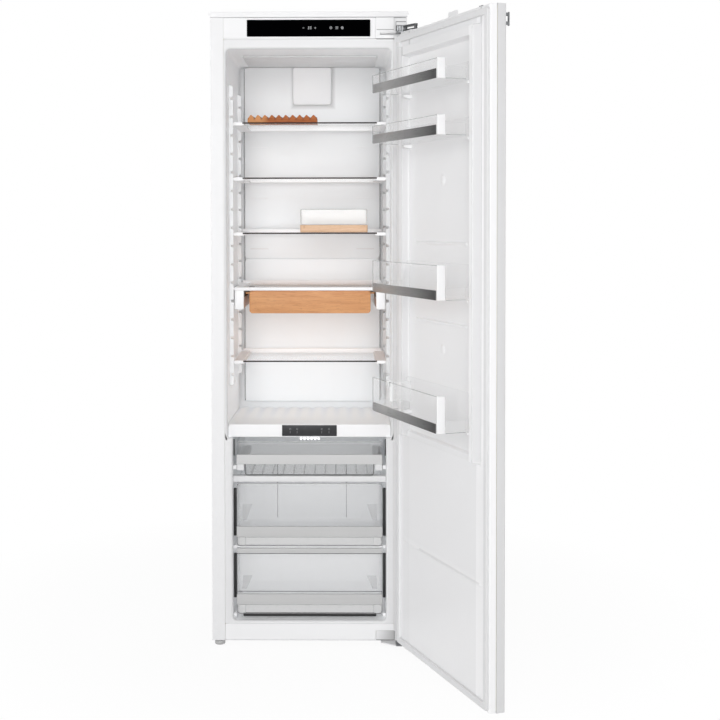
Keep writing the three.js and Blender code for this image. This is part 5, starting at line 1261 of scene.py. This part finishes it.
def liner_relief(u, z):
    """How far the liner stands off its flange at width u and height z."""
    side = np.abs(u)
    within = smooth(side, DIKE_OUT, DIKE_OUT - 6)
    column = within * (1 - smooth(side, DIKE_IN + 6, DIKE_IN))
    upright = ridge(z, DIKE_LOW, DIKE_LOW + 9, DIKE_TOP - 8, DIKE_TOP)
    beam = ridge(z, DIKE_TOP - 36, DIKE_TOP - 28, DIKE_TOP - 7, DIKE_TOP)
    relief = 26 * np.maximum(column * upright, beam * within)
    recess = smooth(side, DIKE_IN + 1, DIKE_IN - 3)
    recess = recess * ridge(z, DIKE_LOW, DIKE_LOW + 6, DIKE_TOP - 34, DIKE_TOP - 28)
    relief = np.maximum(relief, 4 * recess)
    sill = ridge(z, DIKE_LOW, DIKE_LOW + 5, DIKE_LOW + 19, DIKE_LOW + 26)
    relief = np.maximum(relief, 12 * sill * smooth(side, DIKE_IN + 4, DIKE_IN - 2))
    for floor in BIN_FLOORS:
        lug = ridge(z, floor - 12, floor - 8, floor - 2, floor - 0.4) * ridge(side, 183, 187, 196, 199)
        relief = np.maximum(relief, 4 + 22 * lug * (lug > 0.01))
    for level in LEDGES:
        relief = relief + 3.2 * ridge(z, level - 9, level - 2, level, level + 1.5) * smooth(side, 153, 147)
    for level in BOSSES:
        relief = relief + 2.2 * smooth(np.hypot(u + 12, z - level), 16, 6)
    line = smooth(np.abs(z - LOW_LINE), 5, 0) * smooth(side, 236, 228)
    return relief + 1.6 * line


def spread(low, high, step, *fine):
    """Points from low to high, a step apart, and closer in each (from, to, step) of the fine ones."""
    marks = [np.arange(a, b, gap) for a, b, gap in ((low, high, step), *fine)]
    line = np.unique(np.concatenate([*marks, [high]]))
    return line[np.append(np.diff(line) > 0.4, True)]


edges_u = ((147, 154, 1.5), (182, 206, 1.2), (218, 238, 1.5), (266, 270, 1))
grid_u = spread(-270, 270, 8, (-30, 6, 2), *edges_u, *((-b, -a, gap) for a, b, gap in edges_u))
edges_z = [(18, 22, 1), (309, 321, 1.5), (600, 632, 1.4), (1629, 1669, 1.5), (1700, 1705, 1)]
edges_z += [(floor - 13, floor + 1, 1.2) for floor in BIN_FLOORS]
edges_z += [(level - 10, level + 3, 1.2) for level in LEDGES]
edges_z += [(level - 17, level + 17, 2.5) for level in BOSSES]
grid_z = spread(18, 1705, 12, *edges_z)
u, z = grid(grid_u, grid_z)
ends = np.maximum(smooth(z, 21, 18), smooth(z, 1702, 1705))
edge_drop = 2.4 * np.maximum(smooth(np.abs(u), 267, 270), ends)
liner_front = np.stack([u, LINER_FACE + liner_relief(u, z) - edge_drop, z], -1)
liner_back = np.stack([u, np.full_like(u, -456.5), z], -1)
door_white = plastic("door_liner_plastic", (240, 240, 241), 0.32, 0.45)
over = door_white.place("X") * TURN_COS + door_white.place("Y") * TURN_SIN
over = over + (HINGE_X - TURN_COS * HINGE_X - TURN_SIN * HINGE_Y) * MM
# Painted light and shade: the dike on the free-edge side is painted lighter and the one on the hinge side a
# little darker than the middle, the dike flanks darker above 0.6 m, and the low embossed line half-way to
# grey for the shade in it.
near_flank, far_flank = (
    door_white.span((over - middle).maths("ABSOLUTE"), 0.003, 0.006, 1.0, 0.0) for middle in (0.2, -0.223)
)
flank_painted_shade = near_flank.maths("MAXIMUM", far_flank) * door_white.along("Z", 0.6, 0.615)
near_part = door_white.span(over, 0.198, 0.203)
far_part = door_white.span(over, -0.203, -0.198, 1.0, 0.0)
plain = door_white.blend(near_part, tone(243, 243, 244), tone(240, 240, 241))
plain = door_white.blend(far_part, plain, tone(253, 253, 254))
low_line_painted_shade = door_white.span((door_white.place("Z") - 0.3165).maths("ABSOLUTE"), 0.001, 0.003, 1.0, 0.0)
low_line_painted_shade = low_line_painted_shade * door_white.span(over, 0.13, 0.135, 1.0, 0.0) * door_white.span(over, -0.222, -0.216)
plain = door_white.blend(low_line_painted_shade * 0.5, plain, tone(206, 206, 207))
door_white.put("Base Color", door_white.blend(flank_painted_shade, plain, tone(218, 218, 219)))
door_white.wear(0.28, 0.38, 40, 3)
liner_shape = swung(slabbed(liner_front, liner_back))
piece("door_inner", "door", "white_plastic", door_white, liner_shape, stands_for=["door_liner"])

# Door gasket
# A magnetic seal of soft white rubber in a groove round the liner: a foot, two bellows folds and the
# flat face that meets the cabinet.
rubber = Finish("gasket_rubber", (230, 230, 231), 0.55)
rubber.wear(0.5, 0.62, 200, 2)
rubber.texture(700, 2, 0.00006)
GASKET_WIDE = 17
fold = [
    (3.5, -442.4), (3.5, -439.6), (0.8, -438.4), (0, -437), (1.6, -435.6), (0.2, -434.2), (0.4, -431.4),
    (1.4, -430.5),
]
gasket_profile = fold + [(GASKET_WIDE - inset, level) for inset, level in fold[::-1]]
piece(
    "door_seal", "door", "gasket_rubber", rubber,
    swung(carried(-270, 270, 24, 1697, 8, gasket_profile, "xz", wrap=True)), stands_for=["door_gasket"],
)

# Furniture fixings
# What the furniture front hangs by: a white tab and two zinc screws on the door's top edge, and a zinc
# bracket on two feet at the free edge of the outer face.
dressed("fixing_tab", "door_fixing_tab", moulded, 0.7)
screw_zinc = Finish("screw_zinc", (120, 121, 123), 0.35, Metallic=0.7)
screw_zinc.mottle((88, 89, 91), (160, 162, 164), 300, 3)
screw_head = [(2.5, 1704.5), (4, 1705.2), (4, 1709.5), (3, 1712.5), (1, 1713.5)]
bracket_shapes = [spun(screw_head, x, -459, 24) for x in (-189, -178)]
BRACKET_X = (-268.5, -262)
bracket_shapes += [slab(BRACKET_X, (-489, -479.5), (low, low + 8), 1.5, 0.6, "xz") for low in (1656, 1677)]
bracket_shapes += [slab(BRACKET_X, (-490.5, -488), (1654, 1687), 1.5, 0.6, "xz")]
piece("front_fixings", "door", "zinc_steel", screw_zinc, *[swung(shape) for shape in bracket_shapes])

# Door bins
# Four clear trays between the dikes, each with end walls that dip in the middle, a white post at the
# front corner away from the hinge, and a strip of brushed steel along the front.
bin_clear = Finish("bin_plastic", (250, 251, 251), 0.1, Alpha=0.05, Specular_IOR_Level=0.4)
bin_clear.wear(0.08, 0.13, 70, 2)
brushed = Finish("brushed_steel", (140, 140, 140), 0.34, Metallic=0.5)
streaks = brushed.noise(50, 3, (0.4, 0.4, 30))
# Painted sheen: the strips are painted bright near x = 0.2 m and dark away from it; the streaks over it are
# the brushing.
painted_sheen = brushed.span((brushed.place("X") - 0.2).maths("ABSOLUTE"), 0.0, 0.11)
darker = painted_sheen * 0.85 + streaks * 0.3
brushed.shade(darker, (184, 184, 184), (60, 60, 60))
brushed.put("Roughness", brushed.span(streaks, 0.3, 0.7, 0.26, 0.42))
NECK, WIDE = 195.0, 205.5
BIN_BACK, BIN_SHOULDER, BIN_FRONT = -437.2, -412.0, -333.0
BIN_TOPS = (1581.0, 1446.0, 1087.0, 773.0)
END_WALL = 31.0


def walked(flat, count):
    """The closed outline walked in count even steps."""
    loop = np.vstack([flat, flat[:1]])
    along = np.concatenate([[0], np.cumsum(np.linalg.norm(np.diff(loop, axis=0), axis=1))])
    t = np.linspace(0, along[-1], count, endpoint=False)
    return np.stack([np.interp(t, along, loop[:, 0]), np.interp(t, along, loop[:, 1])], 1)


def bin_outline(inset):
    """Outline of a bin seen from above: a neck between the dikes and a wide front over them."""
    neck, wide = NECK - inset, WIDE - inset
    back, shoulder, front = BIN_BACK + inset, BIN_SHOULDER + inset, BIN_FRONT - inset
    corners = both_sides([(neck, back), (neck, shoulder), (wide, shoulder), (wide, front)])
    round = max(8 - inset, 1)
    return walked(trace(corners, [3, 2, 3, round, round, 3, 2, 3]), 480)


def bin_tray(low, high):
    """The tray's outline carried up outside and down inside; its rim dips along the end walls, behind
    the posts."""
    middle_y = (bin_outline(0)[:, 1] + bin_outline(2)[:, 1]) / 2
    by_post = smooth(middle_y, BIN_FRONT - 26, BIN_FRONT - 12)
    by_door = smooth(middle_y, BIN_BACK + 22, BIN_BACK + 8)
    crest = low + END_WALL + (high - low - END_WALL) * np.maximum(by_post, by_door)
    profile = [
        (1.5, low), (0.4, low + 0.4), (0, low + 1.5), (0, crest - 0.6), (0.5, crest), (1.5, crest),
        (2, crest - 0.6), (2, low + 4), (3, low + 3),
    ]
    return skin([stand(bin_outline(inset), level, "xy") for inset, level in profile])


bin_edge = Finish("bin_edge", (176, 177, 178), 0.3, Alpha=0.55)
bin_edge.wear(0.26, 0.36, 90, 2)
for number, (low, high) in enumerate(zip(BIN_FLOORS, BIN_TOPS), 1):
    body = f"bin_{number}"
    tray = swung(bin_tray(low, high))
    piece(f"{body}_tray", body, "clear_plastic", bin_clear, tray, stands_for=[f"door_{body}"])
    post = slab((-206, -200.2), (BIN_FRONT - 20, BIN_FRONT + 0.2), (low + 0.5, high + 0.3), 2, 1.2)
    piece(f"{body}_posts", body, "clear_plastic", moulded, swung(post))
    face = slab((-197.5, 197.5), (BIN_FRONT + 0.2, BIN_FRONT + 1.5), (low + 0.5, low + 24), 1, 0.4, "xz")
    piece(f"{body}_face", body, "brushed_steel", brushed, swung(face), stands_for=[f"door_{body}_strip"])
    crest = slab((-198, 198), (BIN_FRONT - 2, BIN_FRONT + 0.1), (high - 1.3, high), 0.5, 0.3, "yz")
    foot_y = (BIN_SHOULDER + 4, BIN_FRONT - 22)
    foot_line = mirrored(slab((203.6, 205.6), foot_y, (low, low + 1.4), 0.5, 0.3, "yz"))
    upright = slab((204, 205.6), (BIN_FRONT - 2, BIN_FRONT), (low + 2, high), 0.5, 0.3)
    piece(f"{body}_edges", body, "clear_plastic", bin_edge, swung(crest), swung(foot_line), swung(upright))

# Bottle separator
# A white plastic clip over the front wall of the lowest bin, with a blade that keeps bottles apart.
clip_clear = Finish("clip_plastic", (244, 245, 245), 0.2, Specular_IOR_Level=0.4)
blade = float(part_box("bottle_separator")[0][0]) + 0.014
clip_clear.put("Alpha", clip_clear.along("X", blade, blade + 0.006, 0.95, 0.16))
dressed("bottle_clip", "bottle_separator", clip_clear, 0.6)

# Hinges
# Zinc-plated steel: an arm out of the cabinet at top and bottom, the pin, and a stay link between the
# arm and the door.
hinge_zinc = Finish("hinge_zinc", (128, 130, 132), 0.3, Metallic=0.8)
hinge_zinc.mottle((84, 86, 88), (190, 192, 194), 240, 3)
arm_zinc = Finish("hinge_arm", (128, 130, 132), 0.35)
bare = arm_zinc.along("X", 0.239, 0.243)
arm_zinc.put("Metallic", bare * 0.8)
arm_zinc.shade(bare, (224, 224, 225), (118, 120, 122))
dressed("upper_arm", "top_hinge_plate", arm_zinc, 0.4)
dressed("lower_arm", "bottom_hinge_plate", arm_zinc, 0.4)
dressed("upper_link", "top_hinge_link", hinge_zinc, 0.4)
dressed("lower_link", "bottom_hinge_link", hinge_zinc, 0.4)
hinge_dark = Finish("hinge_shade", (60, 61, 62), 0.35, Metallic=0.5)
hinge_dark.mottle((30, 31, 32), (96, 97, 99), 200, 3)
knuckle = slab((243, 267), (-441, -432), (1716.2, 1733), 1.5, 0.6, "xz")
piece("upper_knuckle", "cabinet", "zinc_steel", hinge_dark, knuckle)
RIB_X = (246.5, 251, 255.5, 260, 264)
ribs = [slab((x - 0.9, x + 0.9), (-442.4, -440), (1717, 1732), 0.8, 0.3, "xz") for x in RIB_X]
piece("upper_knuckle_ribs", "cabinet", "zinc_steel", hinge_zinc, *ribs)
EYES = np.array([[268.6, -449.2], [294.1, -483.3]])


def strap(half, low, high):
    """A flat bar from eye to eye with round ends: half circles of radius half about both eyes."""
    leg = EYES[1] - EYES[0]
    aim = math.atan2(leg[1], leg[0])
    t = np.linspace(-math.pi / 2, math.pi / 2, 9)
    far = EYES[1] + half * np.stack([np.cos(aim + t), np.sin(aim + t)], 1)
    near = EYES[0] - half * np.stack([np.cos(aim + t), np.sin(aim + t)], 1)
    flat = np.vstack([far, near])
    return skin([stand(flat, low, "xy"), stand(flat, high, "xy")])


def rivets(radius, low, high):
    """A headless pin through each eye."""
    profile = [(radius - 0.5, low), (radius, low + 0.5), (radius, high - 0.5), (radius - 0.5, high)]
    return [spun(profile, x, y, 24) for x, y in EYES]


upper_straps = [strap(5.4, 1715.6, 1719.6), strap(5.4, 1725.4, 1731.2)]
piece("upper_straps", "top_link", "zinc_steel", hinge_dark, *upper_straps)
piece("upper_rivets", "top_link", "zinc_steel", hinge_dark, *rivets(4.6, 1719.7, 1725.3))
piece("lower_strap", "bottom_link", "zinc_steel", hinge_zinc, strap(4.6, 2.4, 4.2))
piece("lower_rivets", "bottom_link", "zinc_steel", hinge_dark, *rivets(4.0, 1.0, 7.7))
